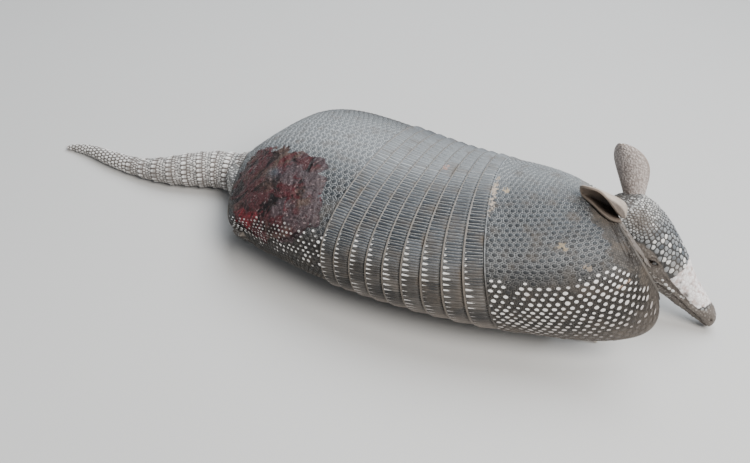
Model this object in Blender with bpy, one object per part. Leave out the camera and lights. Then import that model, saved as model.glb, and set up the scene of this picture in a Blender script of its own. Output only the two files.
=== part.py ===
"""Nine-banded armadillo, life size, lying on its belly with its head lowered and its body bent a little.

Metres, +Z up, +X towards the head, +Y towards the animal's left. The origin is on the floor, in the middle of
the flat of the belly. The shell is one smooth form, shell_point(along, around): along runs from 0 at the rear
edge to 1 at the front edge, and around from -1 at the lower edge of the right side to +1 at that of the left.
Every plate of the shell and the trunk inside it are read from that form.
"""
import math

import bmesh
import bpy
import numpy as np
from mathutils import Matrix, Vector
from mathutils.bvhtree import BVHTree

GAP = 0.0004                    # space left between two solids that meet

# shell
SHELL_LENGTH = 0.335            # along the back, rear edge to front edge
SHELL_THICKNESS = 0.0035
HEADING_MIDDLE = 0.014          # heading of the spine, radians from +X, as a curve in (along - 0.5)
HEADING_TURN = 0.306
HEADING_CURL = 0.539
STATIONS = (0.0, 0.22, 0.5, 0.78, 1.0)
HALF_WIDTHS = (0.0900, 0.0924, 0.0970, 0.0820, 0.0529)
HEIGHTS = (0.0432, 0.0897, 0.0973, 0.1143, 0.1103)
WIDEST_HEIGHT = 0.058           # height of the widest line above the floor
ROUNDNESS = 2.2                 # exponent of the superellipse of a cross section
SIDE_ANGLE = 2.289              # radians from the midline to the lower edge
FRONT_LOBE_RIGHT = 0.056        # how far the lower front edge reaches ahead of the midline
FRONT_LOBE_LEFT = 0.002
REAR_SWEEP = 0.088              # how far the lower rear edge lies ahead of the midline
SWEEP_POWER = 1.2
LEAN_MIDDLE = -0.162            # lean of the cross sections, per metre of height
LEAN_CHANGE = -0.335
REAR_ROLL = 0.193               # the rump rolls to the right, the shoulders to the left
FRONT_ROLL = -0.196
LEFT_EASE = 0.75                # share of the roll that the lower left side loses again
LEVELLING = 0.34                # the side that a roll lifts reaches further round, down to the floor
FRONT_CORNER = (0.22, 0.52)     # rounded lower corners: length along, and share of the way around
REAR_CORNER = (0.12, 0.28)
BAND_START = 0.135              # distance from the rear edge to the first movable band
BAND_END = 0.245
BAND_COUNT = 9
SHIELD_ROOM_DEPTH = 0.016       # room taken out of the ear that lies on the shoulder shield
BAND_RAISE = 0.0010             # the rear edge of a band lies over the plate behind it
PLATE_SPACE = 0.0004
AROUND_CELLS = 24
SHIELD_CELLS = 6

# trunk, which fills the shell down to the floor
TRUNK_SPACE = 0.0012            # between the trunk and the inside of the shell
TRUNK_AXIS_HEIGHT = 0.034
TRUNK_BELLY_DEPTH = 0.038       # a little more than the height of the axis, so that the belly is flat
TRUNK_ROUNDNESS = 2.4
TRUNK_POINTS = 24
TRUNK_SECTIONS = (              # place along the spine, half width, top; the shell limits both inside it
    (-0.022, 0.0185, 0.0315),
    (0.010, 0.027, 0.0345),
    (0.060, 0.039, 0.045),
    (0.110, 0.056, 0.080),
    (0.200, 0.062, 0.110),
    (0.310, 0.065, 0.110),
    (0.500, 0.071, 0.110),
    (0.750, 0.067, 0.120),
    (0.860, 0.054, 0.104),
    (0.920, 0.042, 0.090),
)

# head, in its own axes: forward along the snout, left, and up
SKULL_TOP = Vector((0.1707, 0.0556, 0.0941))
NOSE_TIP = Vector((0.2652, 0.0612, 0.0115))
HEAD_SECTIONS = (               # forward, half width, top, bottom
    (-0.007, 0.0195, 0.0060, -0.0390),
    (0.004, 0.0218, 0.0118, -0.0405),
    (0.022, 0.0236, 0.0135, -0.0400),
    (0.042, 0.0218, 0.0118, -0.0375),
    (0.062, 0.0172, 0.0086, -0.0335),
    (0.082, 0.0136, 0.0036, -0.0275),
    (0.102, 0.0107, 0.0018, -0.0217),
    (0.116, 0.0088, 0.0000, -0.0173),
    (0.1235, 0.0066, -0.0034, -0.0152),
    (0.1256, 0.0044, -0.0056, -0.0138),
)
EYE_PLACE = (0.0414, 0.0174, -0.0090)
EYE_RADIUS = 0.0045
NECK_SECTIONS = (               # centre x, y, z, half width, half height
    (0.115, 0.024, 0.056, 0.039, 0.041),
    (0.138, 0.0355, 0.062, 0.031, 0.035),
    (0.156, 0.048, 0.071, 0.0235, 0.0265),
    (0.176, 0.0575, 0.066, 0.0185, 0.0210),
)

# ears: root, tip, way the opening faces, half width laid flat, half angle of the curl at root and tip,
# how far the root is drawn in towards the head, and how far the curl is pressed together
EAR_THICKNESS = 0.0014
EAR_CELLS = 8
EARS = {
    "ear_left": (Vector((0.1663, 0.0653, 0.0920)), Vector((0.1451, 0.0696, 0.1381)),
                 Vector((0.40, 0.91, 0.09)), 0.0194, 1.81, 1.01, 0.0, 1.0),
    "ear_right": (Vector((0.1715, 0.0119, 0.1151)), Vector((0.1298, -0.0009, 0.1241)),
                  Vector((0.20, -0.52, -0.65)), 0.0261, 2.11, 0.39, 0.026, 0.5),
}
EAR_ROOT_SHARE = 0.45           # share of the ear over which its root is drawn in
EAR_OUTWARDS = Vector((0.30, -0.72, 0.62)).normalized()

# tail: centre x, y and radius; it lies along the floor
TAIL_LINE = (
    (-0.175, 0.0094, 0.0188),
    (-0.187, 0.0066, 0.0182),
    (-0.200, 0.0025, 0.0176),
    (-0.220, -0.0085, 0.0158),
    (-0.241, -0.0185, 0.0128),
    (-0.267, -0.0240, 0.0092),
    (-0.300, -0.0250, 0.0074),
    (-0.329, -0.0235, 0.0055),
    (-0.349, -0.0265, 0.0030),
    (-0.354, -0.0290, 0.0014),
)
TAIL_RINGS = 8
TAIL_RING_LENGTH = 0.0138

# legs: centre along the spine, distance to the side, height, half width, half height
LIMBS = {
    "hind": {
        "leg": ((0.125, 0.046, 0.0230, 0.0125, 0.0120), (0.20, 0.050, 0.0290, 0.0150, 0.0150),
                (0.30, 0.052, 0.0300, 0.0140, 0.0150)),
        "foot": ((0.078, 0.050, 0.0075, 0.0085, 0.0080), (0.12, 0.049, 0.0078, 0.0115, 0.0085),
                 (0.20, 0.047, 0.0070, 0.0130, 0.0080), (0.265, 0.046, 0.0055, 0.0125, 0.0062)),
        "claws": ((-0.0095, 0.009), (-0.0052, 0.013), (0.0, 0.015), (0.0052, 0.013), (0.0095, 0.009)),
    },
    "fore": {
        "leg": ((0.68, 0.038, 0.0220, 0.0120, 0.0130), (0.78, 0.038, 0.0190, 0.0125, 0.0130),
                (0.89, 0.036, 0.0120, 0.0100, 0.0100)),
        "foot": ((0.865, 0.036, 0.0085, 0.0095, 0.0085), (0.92, 0.036, 0.0072, 0.0110, 0.0075),
                 (0.965, 0.037, 0.0058, 0.0110, 0.0060)),
        "claws": ((-0.0080, 0.012), (-0.0028, 0.019), (0.0030, 0.019), (0.0082, 0.012)),
    },
}
RIGHT_FORE_TUCK = 0.014         # how much closer to the midline the right fore leg lies, under the chest
CLAW_RADIUS = 0.0021
LIMB_POINTS = 10

COLOURS = {
    "shell": ((0.16, 0.15, 0.14), 0.55),
    "skin": ((0.30, 0.24, 0.21), 0.75),
    "ear": ((0.26, 0.21, 0.19), 0.70),
    "eye": ((0.01, 0.01, 0.01), 0.10),
    "claw": ((0.24, 0.20, 0.16), 0.45),
    "tail": ((0.33, 0.30, 0.27), 0.60),
}


# ---------------------------------------------------------------- materials and helpers

def material(name):
    found = bpy.data.materials.get(name)
    if found:
        return found
    made = bpy.data.materials.new(name)
    made.use_nodes = True
    shader = made.node_tree.nodes["Principled BSDF"]
    colour, roughness = COLOURS[name]
    shader.inputs["Base Color"].default_value = (*colour, 1.0)
    shader.inputs["Roughness"].default_value = roughness
    shader.inputs["Metallic"].default_value = 0.0
    return made


def add_object(name, mesh_data, finish):
    """Turn a bmesh into a named object whose faces point outwards."""
    bmesh.ops.recalc_face_normals(mesh_data, faces=mesh_data.faces)
    mesh = bpy.data.meshes.new(name)
    mesh_data.to_mesh(mesh)
    mesh_data.free()
    mesh.materials.append(material(finish))
    mesh.shade_smooth()
    mesh.set_sharp_from_angle(angle=math.radians(40))
    made = bpy.data.objects.new(name, mesh)
    bpy.context.scene.collection.objects.link(made)
    return made


def add_grid(name, columns, rows, place, finish):
    """A sheet of columns x rows cells, each corner moved to place(column share, row share)."""
    sheet = bmesh.new()
    corners = [[sheet.verts.new(place(i / columns, j / rows)) for j in range(rows + 1)]
               for i in range(columns + 1)]
    for i in range(columns):
        for j in range(rows):
            sheet.faces.new((corners[i][j], corners[i + 1][j], corners[i + 1][j + 1], corners[i][j + 1]))
    bmesh.ops.remove_doubles(sheet, verts=sheet.verts, dist=0.00005)
    return add_object(name, sheet, finish)


def thicken(sheet, thickness, offset):
    """Give a sheet its wall; offset -1 puts the wall inside, 0 on both sides."""
    wall = sheet.modifiers.new("wall", "SOLIDIFY")
    wall.thickness = thickness
    wall.offset = offset
    return sheet


def add_loft(name, rings, finish):
    """A closed body through rings of equal count, with a flat face at each end."""
    body = bmesh.new()
    loops = [[body.verts.new(point) for point in ring] for ring in rings]
    count = len(rings[0])
    for first, second in zip(loops, loops[1:]):
        for k in range(count):
            body.faces.new((first[k], first[(k + 1) % count], second[(k + 1) % count], second[k]))
    body.faces.new(loops[0])
    body.faces.new(loops[-1])
    return add_object(name, body, finish)


def as_cutter(made):
    made.hide_render = True
    made.display_type = "WIRE"
    return made


def cut(made, *cutters):
    """Take the cutters' room out of a body."""
    for cutter in cutters:
        hole = made.modifiers.new("cut " + cutter.name, "BOOLEAN")
        hole.operation = "DIFFERENCE"
        hole.solver = "EXACT"
        hole.object = cutter


def cut_together(made, name, cutters):
    """Take the room of several cutters, which may overlap one another, out of a body in one step."""
    rooms = bpy.data.collections.new(name)
    bpy.context.scene.collection.children.link(rooms)
    for cutter in cutters:
        rooms.objects.link(cutter)
    hole = made.modifiers.new("cut " + name, "BOOLEAN")
    hole.operation = "DIFFERENCE"
    hole.solver = "EXACT"
    hole.operand_type = "COLLECTION"
    hole.collection = rooms


def smooth_rows(rows, steps):
    """Points of a Catmull-Rom curve through the rows, with the given steps from one row to the next."""
    known = [np.array(row, float) for row in rows]
    known = [2 * known[0] - known[1]] + known + [2 * known[-1] - known[-2]]
    found = []
    for before, start, end, after in zip(known, known[1:], known[2:], known[3:]):
        for step in range(steps):
            t = step / steps
            found.append(0.5 * (2 * start + (end - before) * t + (2 * before - 5 * start + 4 * end - after) * t ** 2
                                + (3 * start - before - 3 * end + after) * t ** 3))
    found.append(known[-2])
    return found


def tube_rings(rows, segments, grow=0.0, directions=None):
    """Elliptical rings round the centres in rows (x, y, z, half width, half height), none below the floor.

    Their forward directions follow the centres, unless they are given.
    """
    centres = [Vector(row[:3]) for row in rows]
    rings = []
    for k, row in enumerate(rows):
        forward = directions[k] if directions else centres[min(k + 1, len(rows) - 1)] - centres[max(k - 1, 0)]
        forward = forward.normalized()
        side = Vector((0, 0, 1)).cross(forward).normalized()
        up = forward.cross(side)
        centre = centres[k] + forward * grow * ((k == len(rows) - 1) - (k == 0))
        ring = []
        for m in range(segments):
            turn = 2 * math.pi * m / segments
            point = centre + side * (row[3] + grow) * math.cos(turn) + up * (row[4] + grow) * math.sin(turn)
            ring.append(Vector((point.x, point.y, max(point.z, -10 * grow))))
        rings.append(ring)
    return rings


def rounded_end(rows, length, steps, shrink=0.35):
    """Rows that close the far end of a tube with a dome of the given length."""
    last = np.array(rows[-1], float)
    way = last[:3] - np.array(rows[-2], float)[:3]
    way = way / np.linalg.norm(way)
    extra = []
    for step in range(1, steps + 1):
        turn = step / steps * math.acos(shrink)
        size = math.cos(turn)
        extra.append(np.concatenate((last[:3] + way * length * math.sin(turn), last[3:] * size)))
    return list(rows) + extra


# ---------------------------------------------------------------- the form of the shell

FINE = np.linspace(-0.1, 1.15, 501)
HEADINGS = HEADING_MIDDLE + HEADING_TURN * (FINE - 0.5) + HEADING_CURL * (FINE - 0.5) ** 2
STEP = (FINE[1] - FINE[0]) * SHELL_LENGTH
SPINE_X = np.cumsum(np.cos(HEADINGS)) * STEP
SPINE_Y = np.cumsum(np.sin(HEADINGS)) * STEP
SPINE_X = SPINE_X - np.interp(0.5, FINE, SPINE_X)
SPINE_Y = SPINE_Y - np.interp(0.5, FINE, SPINE_Y)
WIDTH_CURVE = np.polyfit(STATIONS, HALF_WIDTHS, 4)
HEIGHT_CURVE = np.polyfit(STATIONS, HEIGHTS, 4)


def spine(along):
    """Place on the floor under the spine, and heading there."""
    return (float(np.interp(along, FINE, SPINE_X)), float(np.interp(along, FINE, SPINE_Y)),
            float(np.interp(along, FINE, HEADINGS)))


def beside_spine(along, to_left, height):
    x, y, heading = spine(along)
    return Vector((x - math.sin(heading) * to_left, y + math.cos(heading) * to_left, height))


def corner_cut(depth, corner):
    """How much of the way around is missing at a depth into a rounded corner."""
    share = min(max(depth / corner[0], 0.0), 1.0)
    return corner[1] * (1 - math.sqrt(1 - share * share))


def power(value, exponent):
    return math.copysign(abs(value) ** exponent, value)


def edge_reach(along, around):
    """How far round the form the shell goes on this side, 1 being SIDE_ANGLE."""
    roll = REAR_ROLL * (1 - along) + FRONT_ROLL * along
    reach = 1 + LEVELLING * max(math.copysign(roll, roll * around), 0.0)
    reach -= corner_cut(along - (1 - FRONT_CORNER[0]), FRONT_CORNER)
    return reach - corner_cut(REAR_CORNER[0] - along, REAR_CORNER)


def form_point(along, turned):
    """The form of the shell before its edge is cut; turned is a share of SIDE_ANGLE from the midline."""
    x, y, heading = spine(along)
    half_width = float(np.polyval(WIDTH_CURVE, along))
    height = float(np.polyval(HEIGHT_CURVE, along))
    turn = turned * SIDE_ANGLE
    across = half_width * power(math.sin(turn), 2 / ROUNDNESS)
    rise = power(math.cos(turn), 2 / ROUNDNESS)
    rise = rise * (height - WIDEST_HEIGHT if rise > 0 else WIDEST_HEIGHT)
    front = min(max((along - 0.55) / 0.45, 0.0), 1.0)
    rear = min(max((0.45 - along) / 0.45, 0.0), 1.0)
    front_lobe = FRONT_LOBE_RIGHT if turned < 0 else FRONT_LOBE_LEFT
    ahead = (front_lobe * front ** 1.5 + REAR_SWEEP * rear ** 1.5) * abs(turned) ** SWEEP_POWER
    ahead += (LEAN_MIDDLE + LEAN_CHANGE * (along - 0.5)) * rise
    roll = REAR_ROLL * (1 - along) + FRONT_ROLL * along
    roll = roll * (1 - LEFT_EASE * min(max(turned - 0.35, 0.0) / 0.5, 1.0))
    side = across * math.cos(roll) - rise * math.sin(roll)
    level = WIDEST_HEIGHT + across * math.sin(roll) + rise * math.cos(roll)
    return Vector((x + math.cos(heading) * ahead - math.sin(heading) * side,
                   y + math.sin(heading) * ahead + math.cos(heading) * side, level))


def inside_shell(along, around, depth):
    """A point below the outer surface of the shell."""
    turned = around * edge_reach(along, around)
    small = 0.006
    lengthways = form_point(along + small, turned) - form_point(along - small, turned)
    sideways = form_point(along, turned + small) - form_point(along, turned - small)
    return form_point(along, turned) - lengthways.cross(sideways).normalized() * depth


def shell_point(along, around):
    return form_point(along, around * edge_reach(along, around))


# ---------------------------------------------------------------- parts

def add_plate(name, start, end, cells, raise_rear=0.0, spread=None, thickness=SHELL_THICKNESS, grow=0.0):
    """One plate of the shell between two shares of its length; spread packs its rows towards a free edge."""
    half_space = PLATE_SPACE / 2 / SHELL_LENGTH
    first = start + (half_space if start > 0 else 0)
    last = end - (half_space if end < 1 else 0)
    shares = [spread(k / cells * math.pi / 2) if spread else k / cells for k in range(cells + 1)]
    rings = []
    for step in range(AROUND_CELLS + 1):
        around = 2 * step / AROUND_CELLS - 1
        outside = [inside_shell(first + (last - first) * share, around, -grow - raise_rear * (1 - share))
                   for share in shares]
        inside = [inside_shell(first + (last - first) * share, around, thickness) for share in shares]
        rings.append(outside + inside[::-1])
    return add_loft(name, rings, "shell")


def add_shell():
    edges = [(BAND_START + (BAND_END - BAND_START) * k / BAND_COUNT) / SHELL_LENGTH for k in range(BAND_COUNT + 1)]
    add_plate("pelvic_shield", 0.0, edges[0], SHIELD_CELLS, spread=lambda turn: 1 - math.cos(turn))
    for k in range(BAND_COUNT):
        add_plate("band_%d" % (k + 1), edges[k], edges[k + 1], 1, BAND_RAISE)
    add_plate("scapular_shield", edges[-1], 1.0, SHIELD_CELLS, spread=math.sin)
    return [as_cutter(add_plate(name, edges[-1], 1.0 + GAP / SHELL_LENGTH, SHIELD_CELLS, spread=math.sin,
                                thickness=depth, grow=GAP))
            for name, depth in (("shield_room", SHELL_THICKNESS + GAP), ("deep_shield_room", SHIELD_ROOM_DEPTH))]


def shell_tree():
    """The outside of the whole shell, for finding how far the trunk may reach."""
    columns, rows = 60, 48
    points = [shell_point(i / columns, 2 * j / rows - 1) for i in range(columns + 1) for j in range(rows + 1)]
    faces = [(i * (rows + 1) + j, (i + 1) * (rows + 1) + j, (i + 1) * (rows + 1) + j + 1, i * (rows + 1) + j + 1)
             for i in range(columns) for j in range(rows)]
    return BVHTree.FromPolygons(points, faces)


def trunk_rings(grow=0.0):
    """Upright sections along the spine, each as wide and high as the body, but inside the shell."""
    tree = shell_tree()
    depth = SHELL_THICKNESS + TRUNK_SPACE - grow
    rings = []
    sections = smooth_rows(TRUNK_SECTIONS, 2)
    for number, (along, half_width, top) in enumerate(sections):
        if number == 0:
            along -= grow / SHELL_LENGTH
        elif number == len(sections) - 1:
            along += grow / SHELL_LENGTH
        centre = beside_spine(along, 0.0, TRUNK_AXIS_HEIGHT)
        side = (beside_spine(along, 1.0, TRUNK_AXIS_HEIGHT) - centre).normalized()
        ring = []
        for k in range(TRUNK_POINTS):
            turn = 2 * math.pi * k / TRUNK_POINTS
            across, rise = math.sin(turn), math.cos(turn)
            height = top - TRUNK_AXIS_HEIGHT if rise > 0 else TRUNK_BELLY_DEPTH
            roundness = TRUNK_ROUNDNESS
            reach = (abs(across / half_width) ** roundness + abs(rise / height) ** roundness) ** (-1 / roundness)
            ray = side * across + Vector((0, 0, rise))
            hit, normal, _, distance = tree.ray_cast(centre, ray)
            if hit:
                reach = min(reach, distance - depth / max(abs(normal.dot(ray)), 0.35))
            point = centre + ray * (reach + grow)
            ring.append(Vector((point.x, point.y, max(point.z, -grow))))
        rings.append(ring)
    return rings


def head_axes():
    forward = (NOSE_TIP - SKULL_TOP).normalized()
    left = Vector((0, 0, 1)).cross(forward).normalized()
    return forward, left, forward.cross(left)


def head_point(ahead, to_left, up):
    forward, left, above = head_axes()
    return SKULL_TOP + forward * ahead + left * to_left + above * up


def head_rings(grow=0.0):
    rows = []
    for ahead, half_width, top, bottom in smooth_rows(HEAD_SECTIONS, 2):
        centre = head_point(ahead, 0.0, (top + bottom) / 2)
        rows.append((*centre, half_width, (top - bottom) / 2))
    return tube_rings(rows, 16, grow, [head_axes()[0]] * len(rows))


def add_head():
    head = add_loft("head", head_rings(), "skin")
    for name, side in (("eye_left", 1), ("eye_right", -1)):
        centre = head_point(EYE_PLACE[0], EYE_PLACE[1] * side, EYE_PLACE[2])
        for label, radius, finish in ((name, EYE_RADIUS, "eye"), (name + "_socket", EYE_RADIUS + GAP, "skin")):
            ball = bmesh.new()
            bmesh.ops.create_uvsphere(ball, u_segments=12, v_segments=8, radius=radius,
                                      matrix=Matrix.Translation(centre))
            made = add_object(label, ball, finish)
        cut(head, as_cutter(made))
    return head


def ear_point(name, share_up, share_across):
    """A point on the sheet of an ear: a leaf curled about its axis, opening out towards its tip."""
    root, tip, opening, half_width, curl_root, curl_tip, root_depth, press = EARS[name]
    axis = (tip - root).normalized()
    opening = (opening - axis * opening.dot(axis)).normalized()
    opened = min(share_up / 0.85, 1.0)
    curl = curl_root + (curl_tip - curl_root) * opened ** 2 * (3 - 2 * opened)
    widening = 0.62 + 0.38 * math.sin(min(share_up / 0.55, 1.0) * math.pi / 2)
    rounding = max(1 - max(share_up - 0.55, 0.0) ** 2 / 0.45 ** 2, 0.0) ** 0.62
    half = half_width * widening * rounding
    turn = curl * (2 * share_across - 1)
    radius = half / curl
    sunk = root_depth * max(1 - share_up / EAR_ROOT_SHARE, 0.0) ** 2
    return (root + axis * (tip - root).length * share_up + axis.cross(opening) * press * radius * math.sin(turn)
            + opening * (radius * (1 - math.cos(turn)) - half_width * 0.25) - EAR_OUTWARDS * sunk)


def add_ear(name, *rooms):
    sheet = add_grid(name, EAR_CELLS, EAR_CELLS, lambda up, across: ear_point(name, up, across), "ear")
    cut(thicken(sheet, EAR_THICKNESS, 0), *rooms)


def add_tail(trunk_room):
    line = smooth_rows([(x, y, radius, radius, radius) for x, y, radius in TAIL_LINE], 8)
    lengths = np.cumsum([0] + [np.linalg.norm(b[:3] - a[:3]) for a, b in zip(line, line[1:])])
    table = np.array(line)

    def row(distance):
        return [float(np.interp(distance, lengths, table[:, column])) for column in range(5)]

    def add_length(name, start, end, cells):
        places = [start + GAP / 2 + (end - start - GAP) * k / cells for k in range(cells + 1)]
        directions = [Vector(row(place + 0.004)[:3]) - Vector(row(place - 0.004)[:3]) for place in places]
        return add_loft(name, tube_rings([row(place) for place in places], 14, 0.0, directions), "tail")

    for k in range(TAIL_RINGS):
        ring = add_length("tail_ring_%d" % (k + 1), k * TAIL_RING_LENGTH, (k + 1) * TAIL_RING_LENGTH, 1)
        if k < 3:
            cut(ring, trunk_room)
    tip_start = lengths[-1] - 0.030
    add_length("tail_whip", TAIL_RINGS * TAIL_RING_LENGTH, tip_start, 5)
    add_length("tail_tip", tip_start, lengths[-1], 4)


def limb_rows(kind, part, side):
    tuck = RIGHT_FORE_TUCK if (kind, side) == ("fore", -1) else 0.0
    return [(*beside_spine(along, (to_side - tuck) * side, height), half_width, half_height)
            for along, to_side, height, half_width, half_height in smooth_rows(LIMBS[kind][part], 2)]


def add_limb(kind, side):
    """Upper leg, foot and claws of one limb; the leg and the trunk make room for what lies below them."""
    word = "left" if side > 0 else "right"
    claws = LIMBS[kind]["claws"]
    leg_rows = limb_rows(kind, "leg", side)
    foot_rows = rounded_end(limb_rows(kind, "foot", side), 0.006, 3)
    leg = add_loft("%s_leg_%s" % (kind, word), tube_rings(leg_rows, LIMB_POINTS), "skin")
    add_loft("%s_foot_%s" % (kind, word), tube_rings(foot_rows, LIMB_POINTS), "skin")
    toe = Vector(foot_rows[-4][:3])
    forward = (toe - Vector(foot_rows[-6][:3])).normalized()
    forward = Vector((forward.x, forward.y, 0)).normalized()
    left = Vector((0, 0, 1)).cross(forward)
    claw_end = toe + forward * (max(length for _, length in claws) + 0.010)
    height, half_width, half_height = foot_rows[-4][2:]
    space_rows = foot_rows[:-3] + [(claw_end.x, claw_end.y, height, half_width + 0.012, half_height + 0.004)]
    rooms = {}
    for label, rows in (("leg", leg_rows), ("foot", foot_rows), ("claw", space_rows)):
        room_name = "%s_%s_%s_room" % (kind, label, word)
        rooms[label] = as_cutter(add_loft(room_name, tube_rings(rows, LIMB_POINTS, GAP), "skin"))
    cut(leg, rooms["foot"])
    for number, (offset, length) in enumerate(claws, 1):
        root = toe + left * offset * side + forward * (0.004 - abs(offset) * 0.35)
        rows = []
        for step in range(5):
            share = step / 4
            radius = CLAW_RADIUS * (1 - 0.72 * share ** 1.5)
            place = root + forward * (length + 0.004) * share + left * offset * side * 0.25 * share
            height = radius + 0.0045 * (1 - share) ** 1.5
            rows.append((place.x, place.y, height, radius, radius * 1.1))
        claw = add_loft("%s_claw_%s_%d" % (kind, word, number), tube_rings(rows, 6), "claw")
        cut(claw, rooms["foot"])
    return rooms["leg"], rooms["claw"]


def build():
    for old in list(bpy.data.objects):
        bpy.data.objects.remove(old, do_unlink=True)
    shield_room, deep_shield_room = add_shell()
    trunk = add_loft("trunk", trunk_rings(), "skin")
    trunk_room = as_cutter(add_loft("trunk_room", trunk_rings(GAP), "skin"))
    add_head()
    head_room = as_cutter(add_loft("head_room", head_rings(GAP), "skin"))
    neck_rows = smooth_rows(NECK_SECTIONS, 2)
    neck = add_loft("neck", tube_rings(neck_rows, 16), "skin")
    neck_room = as_cutter(add_loft("neck_room", tube_rings(neck_rows, 16, GAP), "skin"))
    cut(neck, shield_room, trunk_room, head_room)
    add_ear("ear_left", head_room, neck_room)
    add_ear("ear_right", head_room, neck_room, deep_shield_room)
    cut_together(trunk, "limb_rooms", [room for kind in LIMBS for side in (-1, 1) for room in add_limb(kind, side)])
    add_tail(trunk_room)


build()
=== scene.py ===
import math

import bmesh
import bpy
import numpy as np
from mathutils import Matrix, Vector
from mathutils.bvhtree import BVHTree


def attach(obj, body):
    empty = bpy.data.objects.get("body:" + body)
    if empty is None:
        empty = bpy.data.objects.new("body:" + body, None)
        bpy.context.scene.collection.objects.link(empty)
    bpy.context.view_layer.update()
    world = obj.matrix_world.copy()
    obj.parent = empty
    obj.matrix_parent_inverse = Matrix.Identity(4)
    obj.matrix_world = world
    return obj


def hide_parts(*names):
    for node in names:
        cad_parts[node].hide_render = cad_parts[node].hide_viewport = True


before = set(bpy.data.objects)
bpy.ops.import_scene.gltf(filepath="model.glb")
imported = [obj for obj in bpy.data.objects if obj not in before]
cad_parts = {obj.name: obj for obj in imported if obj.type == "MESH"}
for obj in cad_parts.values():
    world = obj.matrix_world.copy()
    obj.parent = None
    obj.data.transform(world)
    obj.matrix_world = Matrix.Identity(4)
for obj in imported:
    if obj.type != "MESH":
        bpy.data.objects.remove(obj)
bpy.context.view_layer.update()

BODY = "root"

# ---- sizes, in metres

# shell, the same form as the solids
SHELL_LENGTH = 0.335
HEADING_MIDDLE = 0.014
HEADING_TURN = 0.306
HEADING_CURL = 0.539
STATIONS = (0.0, 0.22, 0.5, 0.78, 1.0)
HALF_WIDTHS = (0.09, 0.0924, 0.097, 0.082, 0.0529)
HEIGHTS = (0.0432, 0.0897, 0.0973, 0.1143, 0.1103)
WIDEST_HEIGHT = 0.058
ROUNDNESS = 2.2
SIDE_ANGLE = 2.289
FRONT_LOBE_RIGHT = 0.056
FRONT_LOBE_LEFT = 0.002
REAR_SWEEP = 0.088
SWEEP_POWER = 1.2
LEAN_MIDDLE = -0.162
LEAN_CHANGE = -0.335
REAR_ROLL = 0.193
FRONT_ROLL = -0.196
LEFT_EASE = 0.75
LEVELLING = 0.34
FRONT_CORNER = (0.22, 0.52)
REAR_CORNER = (0.12, 0.28)
BAND_START = 0.135
BAND_END = 0.245
BAND_COUNT = 9
BAND_PITCH = (BAND_END - BAND_START) / BAND_COUNT
BAND_RAISE = 0.0016
PLATE_WALL = 0.0028
HALF_GIRTH = 0.165  # from the midline to the lower edge, laid flat
PELVIC_SCUTE_PITCH = 0.0058
SHOULDER_SCUTE_PITCH = 0.0047
BAND_SCUTE_PITCH = 0.0053
GRANULE_PITCH = 0.0018  # the small scales along the shields' free edges
SCUTE_HEIGHT = 0.00062
GROOVE = 0.00014
SKIN_BED = -0.0005  # the skin between the scutes lies this far off the form
BED_CELL = 0.0014  # the length of a face of that skin
PLATE_GAP = 0.0004
SCUTE_SINK = 0.00005  # how deep a scute's foot sits in the skin

# head, in its own axes
SKULL_TOP = np.array((0.1707, 0.0556, 0.0941))
NOSE_TIP = np.array((0.2652, 0.0612, 0.0115))
HEAD_SECTIONS = (  # forward, half width, top, bottom
    (-0.012, 0.011, -0.005, -0.03),
    (-0.007, 0.0195, 0.006, -0.039),
    (0.004, 0.0218, 0.0118, -0.0405),
    (0.022, 0.0236, 0.0135, -0.04),
    (0.042, 0.0218, 0.0118, -0.0375),
    (0.062, 0.0172, 0.0086, -0.0335),
    (0.082, 0.0136, 0.0036, -0.0275),
    (0.102, 0.0107, 0.0018, -0.0217),
    (0.116, 0.0088, 0.0, -0.0173),
    (0.1235, 0.0066, -0.0034, -0.0152),
    (0.1256, 0.0044, -0.0056, -0.0138),
)
EYE_PLACE = (0.0414, 0.0174, -0.009)
EYE_RADIUS = 0.0045
EYE_OPENING = (0.0044, 0.002)  # half length and half height of the slit between the lids
# Painted shade round each eye, in its lid folds and its slit.
EYE_SHADES = (  # half length, half height, shares where it starts to fade and ends, strength
    (0.0082, 0.0056, 0.5, 1.0, 0.7), (0.0049, 0.0024, 0.75, 1.1, 0.95),
)
NOSTRIL = (0.1195, 62)  # forward, degrees round from the top
HEAD_SHIELD_EDGE = (  # forward, and how far round from the top its scutes reach in degrees
    (-0.006, 96), (0.012, 88), (0.022, 70), (0.034, 64), (0.044, 65), (0.056, 70), (0.064, 74),
    (0.103, 74), (0.108, 50),
)
HEAD_SHIELD_PITCH = (  # forward, and the distance between scutes
    (-0.006, 0.0025), (0.012, 0.0027), (0.026, 0.0045), (0.062, 0.005), (0.108, 0.0036),
)
HEAD_OVALS = (  # pale scutes: forward, degrees round from the top, strength
    (0.0243, 50.5, 0.65), (0.0294, 42.5, 1.0), (0.0304, 30.0, 1.0), (0.0291, 56.5, 0.55),
    (0.0355, 54.0, 0.5), (0.0369, 37.0, 0.75), (0.0434, 60.5, 1.0), (0.0495, 56.5, 1.0),
    (0.0566, 63.0, 0.9), (0.0627, 50.5, 0.9), (0.0478, 11.5, 0.9), (0.059, 31.5, 1.0),
    (0.0583, 19.5, 1.0), (0.0437, 31.0, 0.4), (0.0553, 48.5, 0.4), (0.015, 35.0, 0.6),
    (0.012, 12.0, 0.5),
)
CHEEK_OVALS = (  # pale scutes low on the cheek: forward, degrees round from the top
    (0.0614, 91.5), (0.0671, 93.5), (0.0719, 94.5), (0.0753, 91.0), (0.0841, 85.5), (0.0865, 82.5),
    (0.0937, 76.0),
)
SNOUT_NOTCHES = (  # dark marks at the pale snout's edge: forward, degrees, strength
    (0.0712, 56, 0.8), (0.0655, 67, 0.7), (0.0765, 71, 0.8), (0.093, 72, 0.7),
)
MOUTH_LINE = (  # across the line: middle, width, height
    (0.0, 0.0007, -0.0013), (0.0018, 0.0014, 0.0005), (-0.002, 0.0014, 0.0004),
)
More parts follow.
